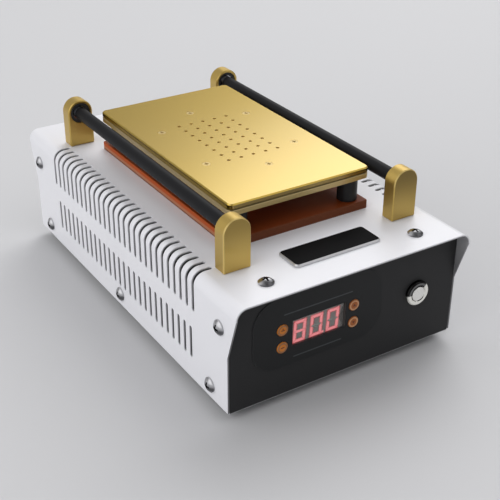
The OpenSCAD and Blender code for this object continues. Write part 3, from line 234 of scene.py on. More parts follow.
class Shade:
    """The nodes of one material, or of the studio's surroundings, and the shader that they feed."""

    def __init__(self, owner, output="ShaderNodeOutputMaterial", shader="ShaderNodeBsdfPrincipled"):
        owner.use_nodes = True
        self.owner = owner
        self.tree = owner.node_tree
        self.tree.nodes.clear()
        out = self.tree.nodes.new(output)
        self.main = self.tree.nodes.new(shader)
        self.tree.links.new(self.main.outputs[0], out.inputs[0])
        self._place = None

    def feed(self, socket, value):
        if isinstance(value, Wire):
            self.tree.links.new(value.socket, socket)
        elif socket.type == "RGBA":
            socket.default_value = (*tuple(value)[:3], 1)
        else:
            socket.default_value = value

    def node(self, kind, settings=None, values=None, output=0):
        """Adds a node. settings are its properties, values its inputs."""
        made = self.tree.nodes.new(kind)
        for key, value in (settings or {}).items():
            if key == "stops":
                ramp = made.color_ramp
                while len(ramp.elements) < len(value):
                    ramp.elements.new(0.5)
                for element, (at, tint) in zip(ramp.elements, value):
                    element.position = at
                    element.color = (*tuple(tint)[:3], 1)
            else:
                setattr(made, key, value)
        for key, value in (values or {}).items():
            self.feed(made.inputs[key], value)
        return Wire(self, made.outputs[output])

    def math(self, operation, *parts):
        return self.node("ShaderNodeMath", {"operation": operation}, dict(enumerate(parts)))

    def place(self):
        """The point on the piece, in metres of the frame."""
        if self._place is None:
            self._place = self.node("ShaderNodeTexCoord", output=3)
        return self._place

    def axes(self, vector=None):
        """The x, y and z of a vector, or of the point on the piece."""
        parts = self.node("ShaderNodeSeparateXYZ", None, {0: vector or self.place()})
        holder = parts.socket.node
        return tuple(Wire(self, holder.outputs[i]) for i in range(3))

    def stretched(self, x, y, z):
        """The point with each axis scaled, so that noise on it runs in streaks."""
        values = {"Vector": self.place(), "Scale": (x, y, z)}
        return self.node("ShaderNodeMapping", {"vector_type": "POINT"}, values)

    def noise(self, scale, detail=3.0, at=None, roughness=0.55):
        values = {"Vector": at or self.place(), "Scale": scale, "Detail": detail, "Roughness": roughness}
        return self.node("ShaderNodeTexNoise", None, values)

    def mix(self, factor, first, second):
        return self.node("ShaderNodeMix", {"data_type": "RGBA"}, {0: factor, 6: first, 7: second}, output=2)

    def tint(self, base, wander, amount):
        """The base colour, a little darker and paler as wander goes from 0 to 1."""
        dark = tuple(c * (1 - amount) for c in tuple(base)[:3])
        pale = tuple(min(1.0, c * (1 + amount)) for c in tuple(base)[:3])
        return self.mix(wander, dark, pale)

    def bump(self, height, strength, distance=0.1 * MM):
        values = {"Height": height, "Strength": strength, "Distance": distance}
        return self.node("ShaderNodeBump", None, values)

    def set(self, **sockets):
        """Feeds inputs of the main shader. An underscore stands for a space."""
        for key, value in sockets.items():
            self.feed(self.main.inputs[key.replace("_", " ")], value)
        return self.owner


_made = {}


def finish_of(name, make):
    """The material of that name, made once."""
    if name not in _made:
        _made[name] = make(Shade(bpy.data.materials.new(name)))
    return _made[name]


def paint(node_names, name, make):
    """Puts a finish on solids that keep their own mesh."""
    material = finish_of(name, make)
    for node in node_names:
        piece = frame["nodes"][node]
        if not piece.material_slots:
            piece.data.materials.append(material)
        for slot in piece.material_slots:
            slot.material = material


# Finishes


def cover_paint(shade):
    """White powder coat outside; duller inner face and bare cut edges beside the panels, both painted grey as
    painted shade.
    """
    tones = colours()
    high = span("cover")[1]
    x, y, z = shade.axes()
    bend, cut, panel = 8 * MM, 0.1 * MM, span("base_tray")[1][1]
    skin, painted_light_heights = (0.55 * MM, 0.9 * MM), (high[2] - 32 * MM, high[2] - 4 * MM)
    side = (abs(x) - (high[0] - bend)).over(0)
    top = (z - (high[2] - bend)).over(0)
    depth = bend - (side * side + top * top).root()
    # Painted shade: the inner face and the bare cut edges beside the panels take the grey inside tone.
    bare = (abs(y) > panel - cut) * (depth > cut) * (z < high[2] - bend)
    inner = depth.rise(*skin).over(bare)
    cloud = shade.noise(9.0)
    peel = shade.noise(900.0, 2.0)
    white = shade.tint(tones.cover_white, cloud, 0.018)
    # Painted light: the inside grey is painted lighter towards the top.
    paler = tuple(1.8 * c for c in tones.cover_inside)
    inside = shade.mix(z.rise(*painted_light_heights), tones.cover_inside, paler)
    return shade.set(
        Base_Color=shade.mix(inner, white, inside),
        Roughness=0.3 + cloud * 0.05 + inner * 0.2,
        Specular_IOR_Level=0.4,
        Normal=shade.bump(peel, 0.06, 0.2 * MM),
    )


def tray_paint(shade):
    """Black paint on the front and rear faces, bare sheet on the bends and the inside, and a pale painted
    highlight on the foot bend below them.
    """
    tones = colours()
    low, high = span("base_tray")
    _, y, z = shade.axes()
    over_face = abs(y) - high[1]
    bend = 1 - z.rise(low[2] + 1.1 * MM, low[2] + 1.7 * MM)
    outside = over_face.rise(-2.5 * MM, -2 * MM)
    face = over_face.rise(-0.3 * MM, -0.06 * MM) * (1 - bend)
    cloud = shade.noise(14.0, 4.0)
    grain = shade.noise(1400.0, 2.0)
    spangle = shade.noise(160.0)
    black = shade.tint(tones.panel_black, cloud, 0.1)
    zinc = shade.tint(tones.tray_zinc, spangle, 0.12)
    # Painted highlight: the foot bend below the front and rear faces is painted pale.
    painted_highlight_bend = rgb(205, 205, 208)
    bare = shade.mix(bend * outside, zinc, painted_highlight_bend)
    return shade.set(
        Base_Color=shade.mix(face, bare, black),
        Metallic=(1 - face) * (1 - bend * outside) * 0.55,
        Roughness=0.42 + face * 0.1 + cloud * 0.05,
        Specular_IOR_Level=0.25,
        Normal=shade.bump(grain, 0.1, 0.15 * MM),
    )


def film(shade):
    """Matt printed film of the control overlay, painted paler on its cut edge as painted light over its
    shade.
    """
    low = span("control_overlay")[0]
    cut = shade.axes()[1].rise(low[1] + 0.05 * MM, low[1] + 0.15 * MM)
    cloud = shade.noise(30.0, 2.0)
    grain = shade.noise(1800.0, 2.0)
    # Painted light: the cut edge is painted paler to lift its shade.
    black, painted_light_edge_grey = rgb(28, 29, 30), rgb(70, 70, 72)
    return shade.set(
        Base_Color=shade.mix(cut, shade.tint(black, cloud, 0.06), painted_light_edge_grey),
        Roughness=0.42 + cloud * 0.05,
        Specular_IOR_Level=0.25,
        Normal=shade.bump(grain, 0.08),
    )


def smoked_window(shade):
    """Dark tinted window that the digits shine through, frosted on its end walls."""
    low, high = span("display_window")
    across = abs(shade.axes()[0] - (low[0] + high[0]) / 2)
    wall = across > (high[0] - low[0]) / 2 - 0.04 * MM
    dust = shade.noise(400.0, 2.0)
    tinted, frosted = (0.012, 0.01, 0.011), (0.1, 0.097, 0.09)
    return shade.set(
        Base_Color=shade.mix(wall, tinted, frosted),
        Roughness=0.12 + dust * 0.06 + wall * 0.4,
        Specular_IOR_Level=0.3,
        Alpha=(0.24 + dust * 0.04).over(wall),
    )


def display_face(shade):
    """Grey front of the display block with the light round its digits, black on its sides.
    The whole front also glows faintly grey: painted light that lifts the shade behind the window.
    """
    size, tones = sizes(), colours()
    x, y, z = shade.axes()
    low = span("display_module")[0]
    front = 1 - y.rise(low[1] + 0.2 * MM, low[1] + 0.5 * MM)
    grain = shade.noise(500.0, 2.0)
    middle, level = digits_middle()
    height = z - level
    across = x - middle - height * (size.digit_lean / size.digit_height)
    for place in (-1, 0, 1):
        near = abs(across - place * size.digit_pitch)
        column = near if place == -1 else column.under(near)
    thick = size.bar_width / 2
    path = (column - (size.digit_width / 2 - thick)).over(abs(height) - (size.digit_height / 2 - thick))
    halo_width = 1.1 * MM
    halo = 1 - abs(path).rise(thick, thick + halo_width)
    # Painted light: a faint grey glow over the whole front face.
    painted_fill_glow = shade.mix(front, (0, 0, 0), (0.1, 0.094, 0.09))
    grey = (0.46, 0.45, 0.43)
    return shade.set(
        Base_Color=shade.mix(front, BLACK, shade.tint(grey, grain, 0.1)),
        Roughness=0.5 + grain * 0.1,
        Emission_Color=shade.mix(halo * front, painted_fill_glow, tones.digit_halo),
        Emission_Strength=0.65,
    )


def anodised(base, streak, rough, amount, coat=0.6, bump=0.05):
    """Anodised aluminium: coloured metal with fine streaks under a clear layer.

    streak scales the three axes.
    """

    def make(shade):
        lines = shade.noise(1.0, 4.0, shade.stretched(*streak), 0.7)
        cloud = shade.noise(12.0)
        return shade.set(
            Base_Color=shade.tint(base, lines * 0.6 + cloud * 0.4, amount),
            Metallic=1.0,
            Roughness=rough + lines * 0.08 - cloud * 0.03,
            Coat_Weight=coat,
            Coat_Roughness=0.15,
            Normal=shade.bump(lines, bump),
        )

    return make


def front_bracket(shade):
    """An anodised bracket with its front face painted darker, most of all at its top, as painted shade,
    and its rim painted pale, as a painted highlight.

    The right one's face is painted darker still, and only its arch has the painted highlight.
    """
    base = colours().bracket_gold
    painted_shade_tone, painted_highlight_tone = rgb(40, 24, 4), rgb(250, 224, 150)
    low = span("bracket_front_left")[0]
    anodised(base, *BRACKET_ANODISING)(shade)
    x, y, z = shade.axes()
    face = 1 - y.rise(low[1] + 0.05 * MM, low[1] + 0.3 * MM)
    right = x > 0
    arch = z.rise(low[2] + 24 * MM, low[2] + 28 * MM)
    # Painted highlight: the eased rim round the front face; on the right bracket only at its arch.
    rim = (1 - face) * (1 - y.rise(low[1] + 0.8 * MM, low[1] + 1.1 * MM)) * (1 - right * (1 - arch))
    cloud = shade.noise(12.0)
    # Painted shade: the front face darker towards its top, and darker still on the right bracket.
    painted_shade_amount = face * (right * 0.2 + z.rise(low[2] + 6 * MM, low[2] + 34 * MM) * 0.44)
    tone = shade.mix(painted_shade_amount, shade.tint(base, cloud, 0.05), painted_shade_tone)
    return shade.set(Base_Color=shade.mix(rim * 0.5, tone, painted_highlight_tone))


def upper_plate(shade):
    """The anodised upper plate: smooth on top, duller on its edges, and rough in its drilled holes.
    Its edges are painted darker, as painted shade.

    Its clear layer is thinner towards the rear.
    """
    base = colours().plate_gold
    # Painted shade: the edge tones here are darker than the plate; the bore's tone is its own.
    bore, painted_shade_side_low = rgb(204, 168, 88), tuple(c * 0.7 for c in base)
    painted_shade_side_high, painted_shade_front = (0.31, 0.18, 0.012), (0.3, 0.215, 0.08)
    low, high = span("suction_plate")
    x, y, z = shade.axes()
    streak, brim = (2600, 60, 900), 1 * MM
    anodised(base, streak, 0.24, 0.02, 1.0, 0.003)(shade)
    rim = (abs(x) > high[0] - brim).over(abs(y) > high[1] - brim)
    edge = rim * (1 - z.rise(high[2] - 1.1 * MM, high[2] - 0.8 * MM))
    drilled = (1 - rim) * (z < high[2] - 0.12 * MM)
    lines = shade.noise(1.0, 4.0, shade.stretched(*streak), 0.7)
    plain = shade.mix(drilled, shade.tint(base, lines, 0.02), bore)
    upper = z.rise(high[2] - 2.4 * MM, high[2] - 1.8 * MM)
    # Painted shade: the sides and the front edge painted darker, the upper band of the sides darkest.
    painted_shade_side = shade.mix(upper, painted_shade_side_low, painted_shade_side_high)
    painted_shade_edge = shade.mix(y < low[1] + brim, painted_shade_side, painted_shade_front)
    return shade.set(
        Base_Color=shade.mix(edge, plain, painted_shade_edge),
        Metallic=1 - drilled * 0.75,
        Roughness=0.25 + lines * 0.02 + drilled * 0.3,
        Coat_Weight=(1 - edge) * (1 - drilled) * (1 - y.rise(low[1] * 0.1, high[1]) * 0.6),
    )


def domed_head(shade, down, along, shine, bright):
    """Polished domed head, painted dark in its cross recess as painted shade, and painted darker where shine
    is low as a painted reflection. down and along are measured from its axis.
    """
    radius = sizes().screw_head / 2
    long, wide = radius * 0.52, radius * 0.13
    cross = ((abs(along) < long) * (abs(down) < wide)).over((abs(down) < long) * (abs(along) < wide))
    spots = shade.noise(500.0)
    # Painted shade in the cross recess and painted reflection on the dome's darker part.
    shadow, recess = rgb(104, 104, 106), rgb(70, 70, 72)
    dome = shade.mix(shine, shadow, shade.tint(bright, spots, 0.08))
    return shade.set(
        Base_Color=shade.mix(cross, dome, recess),
        Metallic=1.0,
        Roughness=0.2 + spots * 0.06,
        Normal=shade.bump(spots, 0.03, 0.05 * MM),
    )


def side_screw(shade):
    """Heads on the sides, with a darker band painted below the middle: a painted reflection of the bench's
    edge.
    """
    size = sizes()
    low, high = span("cover_side_screws")
    radius = size.screw_head / 2
    _, y, z = shade.axes()
    lowest, highest, end = low[2] + radius, high[2] - radius, high[1] - radius
    upper = z > (lowest + highest) / 2
    down = z - lowest - upper * (highest - lowest)
    outer = abs(y) > end / 2
    along = abs(y) - outer * (size.low_screw_place + upper * (end - size.low_screw_place))
    # Painted reflection: the dark band below the middle of each head.
    band = down.rise(-0.75 * radius, -0.4 * radius) * (1 - down.rise(-0.1 * radius, 0.3 * radius))
    return domed_head(shade, down, along, 1 - band, rgb(188, 188, 190))


def top_screw(shade):
    """Heads on the top, painted darker on the half that faces the front: a painted reflection of dark
    surroundings.
    """
    high = span("cover_top_screws")[1]
    radius = sizes().screw_head / 2
    x, y, _ = shade.axes()
    down = y - ((y > 0) * 2 - 1) * (high[1] - radius)
    along = abs(x) - (high[0] - radius)
    # Painted reflection: the half of each head that faces the front is painted darker.
    return domed_head(shade, down, along, down.rise(-0.6 * radius, 0.3 * radius), rgb(228, 228, 230))


def rocker_finish(shade):
    """Glossy black rocker with a white bar on one half and a white ring on the other."""
    low, high = span("rocker")
    middle = (low + high) / 2
    x, y, z = shade.axes()
    across, up = x - middle[0], z - middle[2]
    place, half_line, half_bar, ring_radius = 3.9 * MM, 0.35 * MM, 1.7 * MM, 1.5 * MM
    black, white = (0.014, 0.014, 0.015), (0.72, 0.72, 0.7)
    front = y > high[1] - 4 * MM
    bar = (abs(across) < half_line) * (abs(up - place) < half_bar)
    away = (across * across + (up + place) * (up + place)).root()
    ring = abs(away - ring_radius) < half_line
    fine = shade.noise(500.0, 2.0)
    mark = front * bar.over(ring)
    return shade.set(
        Base_Color=shade.mix(mark, shade.tint(black, fine, 0.04), white),
        Roughness=0.24 + fine * 0.04 + mark * 0.2,
    )


def metal(base, rough, grain=300.0, variation=0.08):
    """Plain metal with a light grain."""

    def make(shade):
        spots = shade.noise(grain)
        return shade.set(
            Base_Color=shade.tint(base, spots, variation),
            Metallic=1.0,
            Roughness=rough + spots * 0.06,
            Normal=shade.bump(spots, 0.03, 0.05 * MM),
        )

    return make


def bezel_chrome(shade):
    """Polished bezel. The part of its ring that faces up and left is painted dark, a painted reflection
    of the dark side of a room.

    With d the direction from the axis and n the way up and slightly left, that part is where d.n
    passes 0.37. A paler band of that painted reflection runs along its middle. The lip round the cap
    is painted dark below, on the right, as a painted shadow.
    """
    low, high = span("start_button_body")
    x, _, z = shade.axes()
    across, rise = x - (low[0] + high[0]) / 2, z - (low[2] + high[2]) / 2
    radius = (across * across + rise * rise).root()
    part = (rise * 0.94 - across * 0.34) / radius
    # Painted reflection on the ring's upper left, painted shadow on the lip's lower right.
    dark = part.rise(0.32, 0.42)
    below = ((across * 0.42 - rise * 0.9) / radius).rise(0.84, 0.92)
    lip = (1 - radius.rise(5.8 * MM, 6.1 * MM)) * below
    middle = radius.rise(6.2 * MM, 6.8 * MM) * (1 - radius.rise(7.6 * MM, 8.2 * MM))
    spots = shade.noise(400.0)
    chrome, grey = (0.93, 0.92, 0.86), (0.16, 0.16, 0.16)
    shadow = shade.mix(middle, BLACK, grey)
    return shade.set(
        Base_Color=shade.mix(dark.over(lip), shade.tint(chrome, spots, 0.04), shadow),
        Metallic=1.0,
        Roughness=0.16 + spots * 0.05,
    )


def plastic(base, rough, grain=900.0, bump=0.12, gloss=0.5):
    """Moulded plastic or rubber with a fine grain."""

    def make(shade):
        fine = shade.noise(grain, 2.0)
        cloud = shade.noise(25.0, 2.0)
        return shade.set(
            Base_Color=shade.tint(base, cloud, 0.08),
            Roughness=rough + cloud * 0.08,
            Specular_IOR_Level=gloss,
            Normal=shade.bump(fine, bump),
        )

    return make


def laminate(shade):
    """Brown laminate: pressed faces with cloth under them, sawn edges with layers.

    The two long edges are painted the palest, as painted light, and the ends darker, as painted shade.
    The long edges are orange in their upper half, tan below it and brown at the foot, a painted shadow.
    """
    tones = colours()
    # Painted shadow: the brown at the foot of the long edges.
    tan, brown = rgb(174, 118, 86), rgb(122, 78, 64)
    # Painted shade: the ends' tone, darker than the long edges; the layer tone is the board's own.
    layer, painted_shade_end = rgb(120, 54, 20), rgb(112, 60, 34)
    low, high = span("insulating_board")
    x, y, z = shade.axes()
    long_edge = (abs(x) - (high[0] - 0.5 * MM)).rise(-0.2 * MM, 0.1 * MM)
    end_edge = (abs(y) - (high[1] - 0.5 * MM)).rise(-0.2 * MM, 0.1 * MM)
    layers = shade.noise(1.0, 2.0, shade.stretched(12, 12, 2600))
    cloth = shade.node("ShaderNodeTexVoronoi", {"feature": "F1"}, {"Vector": shade.place(), "Scale": 900.0})
    cloud = shade.noise(18.0, 4.0)
    face = shade.tint(tones.board_face, cloud * 0.7 + cloth * 0.3, 0.14)
    level = (z - low[2]) / (high[2] - low[2])
    # Painted light: the long edges take the palest tones.
    upper = shade.mix(level.rise(0.46, 0.6), tan, tones.board_edge)
    whole = shade.mix(level.rise(0.12, 0.26), brown, upper)
    side = shade.mix(layers * 0.2, whole, layer)
    end = shade.tint(painted_shade_end, layers, 0.16)
    edge = long_edge.over(end_edge)
    return shade.set(
        Base_Color=shade.mix(long_edge, shade.mix(end_edge, face, end), side),
        Roughness=0.42 + cloud * 0.08 + edge * 0.15,
        Specular_IOR_Level=0.22,
        Normal=shade.bump(layers * edge + cloth * 0.3, 0.08),
    )


def badge_finish(shade):
    """Plate with a printed black face inside its grey bevel."""
    top = span("badge_plate")[1][2]
    face = shade.axes()[2].rise(top - 0.12 * MM, top - 0.04 * MM)
    lines = shade.noise(1.0, 3.0, shade.stretched(40, 2200, 2200))
    fine = shade.noise(600.0, 2.0)
    bevel, printed = (0.62, 0.62, 0.63), (0.004, 0.004, 0.0045)
    return shade.set(
        Base_Color=shade.mix(face, shade.tint(bevel, lines, 0.1), printed),
        Metallic=(1 - face) * 0.9,
        Roughness=0.3 + face * 0.1 + fine * 0.08,
        Specular_IOR_Level=0.03,
        Normal=shade.bump(lines * (1 - face), 0.04),
    )


def board_green(shade):
    """Solder mask with tracks under it."""
    pattern = {"Vector": shade.place(), "Scale": 160.0, "Mortar Size": 0.03}
    pattern.update({"Color1": (0, 0, 0), "Color2": (0.2, 0.2, 0.2), "Mortar": (1, 1, 1)})
    tracks = shade.node("ShaderNodeTexBrick", {"offset": 0.5}, pattern)
    cloud = shade.noise(60.0)
    mask, copper = (0.012, 0.11, 0.045), (0.03, 0.25, 0.1)
    return shade.set(
        Base_Color=shade.mix(tracks * 0.35, shade.tint(mask, cloud, 0.2), copper),
        Roughness=0.3 + cloud * 0.1,
    )


def light(base, strength, body=(0.3, 0.02, 0.03)):
    """A piece of the display that gives light, in front of its own body colour."""

    def make(shade):
        glow = shade.noise(700.0, 1.0)
        return shade.set(
            Base_Color=body,
            Roughness=0.4,
            Emission_Color=shade.tint(base, glow, 0.06),
            Emission_Strength=strength,
        )

    return make


def braid(shade):
    """Woven glass sleeve of the heater lead: strands that wind round its axis both ways."""
    x, y, z = shade.axes()
    axis_x, axis_y, strands, per_metre = 29 * MM, 40 * MM, 8, 3200
    turn = shade.math("ARCTAN2", y - axis_y, x - axis_x) * strands
    climb = z * per_metre
    ridge = shade.math("SINE", turn + climb) * shade.math("SINE", turn - climb)
    groove, strand = (0.42, 0.4, 0.3), (0.8, 0.78, 0.68)
    return shade.set(
        Base_Color=shade.mix(ridge.rise(-1.0, 1.0), groove, strand),
        Roughness=0.8,
        Normal=shade.bump(ridge, 0.4, 0.3 * MM),
    )


def inlet_moulding(shade):
    """Black moulding with three bright blades: one on the middle line and one on each side of it."""
    low, high = span("mains_inlet")
    x, y, z = shade.axes()
    socket_up, half_height, blade_middle, blade_side = 8 * MM, 4.6 * MM, 1.1 * MM, (5.9 * MM, 8.2 * MM)
    tips, roots = high[1] - 2.2 * MM, high[1] - 16.2 * MM
    across = abs(x - (low[0] + high[0]) / 2)
    up = abs(z - ((low[2] + high[2]) / 2 + socket_up))
    beside = (across > blade_side[0]) * (across < blade_side[1])
    blade = (across < blade_middle).over(beside) * (up < half_height) * (y < tips) * (y > roots)
    fine = shade.noise(900.0, 2.0)
    black, bright = (0.018, 0.018, 0.019), (0.7, 0.7, 0.7)
    return shade.set(
        Base_Color=shade.mix(blade, shade.tint(black, fine, 0.1), bright),
        Metallic=blade,
        Roughness=0.4 - blade * 0.2,
        Normal=shade.bump(fine, 0.12),
    )


def floor_paint(shade):
    """Pale matt floor."""
    cloud = shade.noise(2.0, 2.0)
    return shade.set(Base_Color=shade.tint(colours().floor_pale, cloud, 0.01), Roughness=0.85)


# Surfaces


def put(name, points, faces, material, body, slot, smooth=False):
    """Makes one piece of the points and faces, in place, and lets it ride on its body."""
    mesh = bpy.data.meshes.new(name)
    mesh.from_pydata(np.asarray(points, float).tolist(), [], faces)
    mesh.polygons.foreach_set("use_smooth", np.full(len(mesh.polygons), smooth))
    mesh.validate()
    mesh.update()
    mesh.materials.append(material)
    piece = bpy.data.objects.new(name, mesh)
    bpy.context.scene.collection.objects.link(piece)
    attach(piece, body)
    return piece


def gathered(parts):
    """Several (points, faces) as one."""
    points, faces, start = [], [], 0
    for some, sides in parts:
        points.append(some)
        faces += [[i + start for i in side] for side in sides]
        start += len(some)
    return np.vstack(points), faces


def walls(rows, columns, round_rows=False):
    """Faces of a grid of points, row by row. Columns always close on themselves."""
    i, j = np.meshgrid(np.arange(rows if round_rows else rows - 1), np.arange(columns), indexing="ij")
    a = i * columns + j
    b = i * columns + (j + 1) % columns
    c = (i + 1) % rows * columns + (j + 1) % columns
    d = (i + 1) % rows * columns + j
    return np.stack([a, b, c, d], -1).reshape(-1, 4).tolist()


def prism(outline, low, high):
    """A flat outline raised from low to high: the point (u, v) becomes (u, v, low) and (u, v, high)."""
    outline = np.asarray(outline, float)
    n = len(outline)
    bottom = np.column_stack([outline, np.full(n, low)])
    top = np.column_stack([outline, np.full(n, high)])
    faces = walls(2, n) + [list(range(n))[::-1], list(range(n, 2 * n))]
    return np.vstack([bottom, top]), faces


def band(outer, inner, low, high):
    """A frame between two outlines with the same count of points, raised from low to high."""
    outer, inner = np.asarray(outer, float), np.asarray(inner, float)
    n = len(outer)
    rings = [(outer, low), (outer, high), (inner, high), (inner, low)]
    points = np.vstack([np.column_stack([ring, np.full(n, level)]) for ring, level in rings])
    return points, walls(4, n, round_rows=True)


def lathe(profile, count=48):
    """A profile of (radius, height) turned round the axis: (r cos t, r sin t, h)."""
    profile = np.asarray(profile, float)
    turn = np.linspace(0, 2 * np.pi, count, endpoint=False)
    r, h = profile[:, :1], profile[:, 1:]
    points = np.stack([r * np.cos(turn), r * np.sin(turn), np.broadcast_to(h, (len(profile), count))], -1)
    faces = walls(len(profile), count)
    return points.reshape(-1, 3), faces


def turned_ring(profile, count=48):
    """A closed profile turned round the axis, such as a ring."""
    return lathe(profile, count)[0], walls(len(profile), count, round_rows=True)


def round_corners(width, height, radius, steps=12):
    """A rectangle's outline whose corners are quarter circles, anticlockwise."""
    angles = np.linspace(0, np.pi / 2, steps)
    quarter = np.column_stack([np.cos(angles), np.sin(angles)]) * radius
    corners = []
    for k, (sx, sy) in enumerate([(1, 1), (-1, 1), (-1, -1), (1, -1)]):
        cos, sin = math.cos(k * math.pi / 2), math.sin(k * math.pi / 2)
        turn = np.array([[cos, -sin], [sin, cos]])
        middle = np.array([sx * (width / 2 - radius), sy * (height / 2 - radius)])
        corners.append(quarter @ turn.T + middle)
    return np.vstack(corners)


def coil(radius, wire, low, high, turns, steps=24, sides=10):
    """Round wire wound round the Y axis between low and high.

    A point is at the coil's radius plus the wire's radius times the cosine of its angle round the
    wire; its height grows evenly with the turn, plus the wire's radius times the sine of that angle.
    """
    count = turns * steps
    step = np.arange(count + 1)[:, None]
    turn = 2 * np.pi * step / steps
    around = np.linspace(0, 2 * np.pi, sides, endpoint=False)[None, :]
    reach = radius + wire * np.cos(around)
    height = low + wire + (high - low - 2 * wire) * step / count + wire * np.sin(around)
    points = np.stack([reach * np.cos(turn), height, reach * np.sin(turn)], axis=-1).reshape(-1, 3)
    ring = [[i * sides + k for k in range(sides)] for i in range(count + 1)]
    faces = [
        [a[k], a[(k + 1) % sides], b[(k + 1) % sides], b[k]]
        for a, b in zip(ring[:-1], ring[1:])
        for k in range(sides)
    ]
    return points, [*faces, ring[0][::-1], ring[-1]]


def on_front(part, x, z, y):
    """Turns a part whose height is outwards so that it stands on the front, at (x, y, z)."""
    points, faces = part
    u, v, w = points.T
    return np.column_stack([x + u, y - w, z + v]), faces


def digit_bars(width, height, thick, gap, lean, point):
    """Outlines of a digit's bars, a at the top and clockwise, g in the middle, and its point p.

    The ends are mitred: each bar's end runs from an outer corner (w, h) to the inner (w - t, h - t),
    moved away from its neighbour by half the gap. Then a point (u, v) becomes (u + v lean / height, v).
    """
    w, h, t, g = width / 2, height / 2, thick, gap / 2
    flat = np.array([[g - w, h], [w - g, h], [w - t - g, h - t], [t + g - w, h - t]])
    upright = np.array([[w, h - g], [w, g], [w - t, t / 2 + g], [w - t, h - t - g]])
    upper = np.array([[2 * g - w, 0], [t + 2 * g - w, t / 2], [w - t - 2 * g, t / 2]])
    under, middle = [1, -1], np.vstack([upper, -upper])
    bars = (flat, upright, upright * under, flat * under, -upright, -upright * under, middle)
    leaned = {}
    for key, bar in zip("abcdefg", bars):
        leaned[key] = bar + np.column_stack([bar[:, 1] / height * lean, np.zeros(len(bar))])
    corner = np.array([w + gap - lean / 2, -h])
    leaned["p"] = corner + np.array([[0, 0], [point, 0], [point, point], [0, point]])
    return leaned


def facing_up(outline):
    """The outline in anticlockwise order, so that a prism of it faces outwards."""
    u, v = np.asarray(outline).T
    area = np.sum(u * np.roll(v, -1) - v * np.roll(u, -1))
    return outline if area > 0 else outline[::-1]


def digits_middle():
    """Where the middle digit's centre lies on the display block: across and up."""
    low, high = span("display_module")
    left, down = 1.3 * MM, 0.3 * MM
    return (low[0] + high[0]) / 2 - left, (low[2] + high[2]) / 2 - down


# Pieces


def add_digits():
    """The lit and the unlit bars and points of three digits, in their beds in the display block."""
    size = sizes()
    shapes = digit_bars(
        size.digit_width, size.digit_height, size.bar_width, size.bar_gap, size.digit_lean, size.point_width
    )
    # Share of its bed that a bar takes up across and down, and its depth under the front face
    across, down, under = 0.995, 0.97, 0.02 * MM
    parts = {"lit": [], "unlit": []}
    for place, lit in zip((-1, 0, 1), ("abcdefg", "abcdefp", "abcdef")):
        for key, outline in shapes.items():
            moved = facing_up(outline * across + [place * size.digit_pitch, 0])
            parts["lit" if key in lit else "unlit"].append(prism(moved, -size.digit_depth * down, -under))
    finishes = {
        "lit": light(colours().digit_pink, 1.25),
        # The unlit bars glow faintly: painted light that lifts their shade behind the window.
        "unlit": light((0.9, 0.95, 0.88), 0.11, (0.6, 0.62, 0.58)),
    }
    x, z = digits_middle()
    front = span("display_module")[0][1]
    for state, bars in parts.items():
        finish = finish_of(state + "_bar", finishes[state])
        put("display_bars_" + state, *on_front(gathered(bars), x, z, front), finish, "case", "window_red")


def add_prints():
    """The border and the two stripes that are printed on the overlay."""
    size = sizes()
    low, high = span("control_overlay")
    middle, extent = (low + high) / 2, high - low
    line, corner = size.border_width, size.overlay_corner
    outer = round_corners(extent[0] - line, extent[2] - line, corner - line / 2)
    inner = round_corners(extent[0] - 3 * line, extent[2] - 3 * line, corner - 1.5 * line)
    # Each stripe's length and its place from the overlay's middle: across and up
    places = (size.upper_stripe, -0.9 * MM, 13.1 * MM), (size.lower_stripe, -0.7 * MM, -20.4 * MM)
    stripes = [
        prism(round_corners(long, size.stripe_width, 0.4 * MM, 4) + [across, up], -SUNK, PRINT)
        for long, across, up in places
    ]
    prints = (
        ("overlay_border", band(outer, inner, -SUNK, PRINT), "border_print", rgb(35, 36, 37), 0.3),
        ("overlay_stripes", gathered(stripes), "stripe_print", rgb(58, 61, 64), 0.5),
    )
    for name, part, finish_name, grey, gloss in prints:
        finish = finish_of(finish_name, plastic(grey, 0.5, gloss=gloss))
        put(name, *on_front(part, middle[0], middle[2], low[1]), finish, "case", "overlay_film")


def add_key_prints(node, outlines, ring_finish, mark_finish):
    """The pale ring and the raised mark of one key."""
    low, high = span(node)
    x, z = (low[0] + high[0]) / 2, (low[2] + high[2]) / 2
    outer = high[0] - x - 1 * MM
    inner = outer - sizes().ring_width
    foot, shoulder, top = outer - 0.32 * MM, 0.05 * MM, 0.12 * MM
    profile = [
        (inner, -SUNK), (foot, -SUNK), (foot, shoulder),
        (outer - 0.5 * MM, top), (inner + 0.2 * MM, top), (inner, shoulder),
    ]
    body = body_of(node)
    ring = on_front(turned_ring(profile), x, z, low[1])
    put(node + "_ring", *ring, ring_finish, body, "key_orange", True)
    mark = gathered([prism(outline, -SUNK, 0.08 * MM) for outline in outlines])
    put(node + "_mark", *on_front(mark, x, z, low[1]), mark_finish, body, "key_orange")


# Steps


class SeparatorCase(bpy.types.Operator):
    """Finishes of the cover, tray, badge plate, feet and case screws"""

    bl_idname = "separator.case"
    bl_label = "Case"

    def execute(self, context):
        paint(["cover"], "cover_powder_coat", cover_paint)
        paint(["base_tray"], "tray_paint_and_sheet", tray_paint)
        paint(["badge_plate"], "badge_face", badge_finish)
        paint(["feet", "pump_grommets"], "foot_rubber", plastic(BLACK, 0.7, 700.0, 0.3))
        paint(["cover_top_screws"], "polished_screw", top_screw)
        paint(["cover_side_screws"], "bright_screw", side_screw)
        zinc = ["foot_screws", "bracket_screws", "post_screws", "post_studs"]
        zinc += ["controller_standoffs", "start_button_nut", "power_board_spacers"]
        paint(zinc, "zinc_screw", metal(rgb(180, 181, 183), 0.3, 500.0))
        return {"FINISHED"}


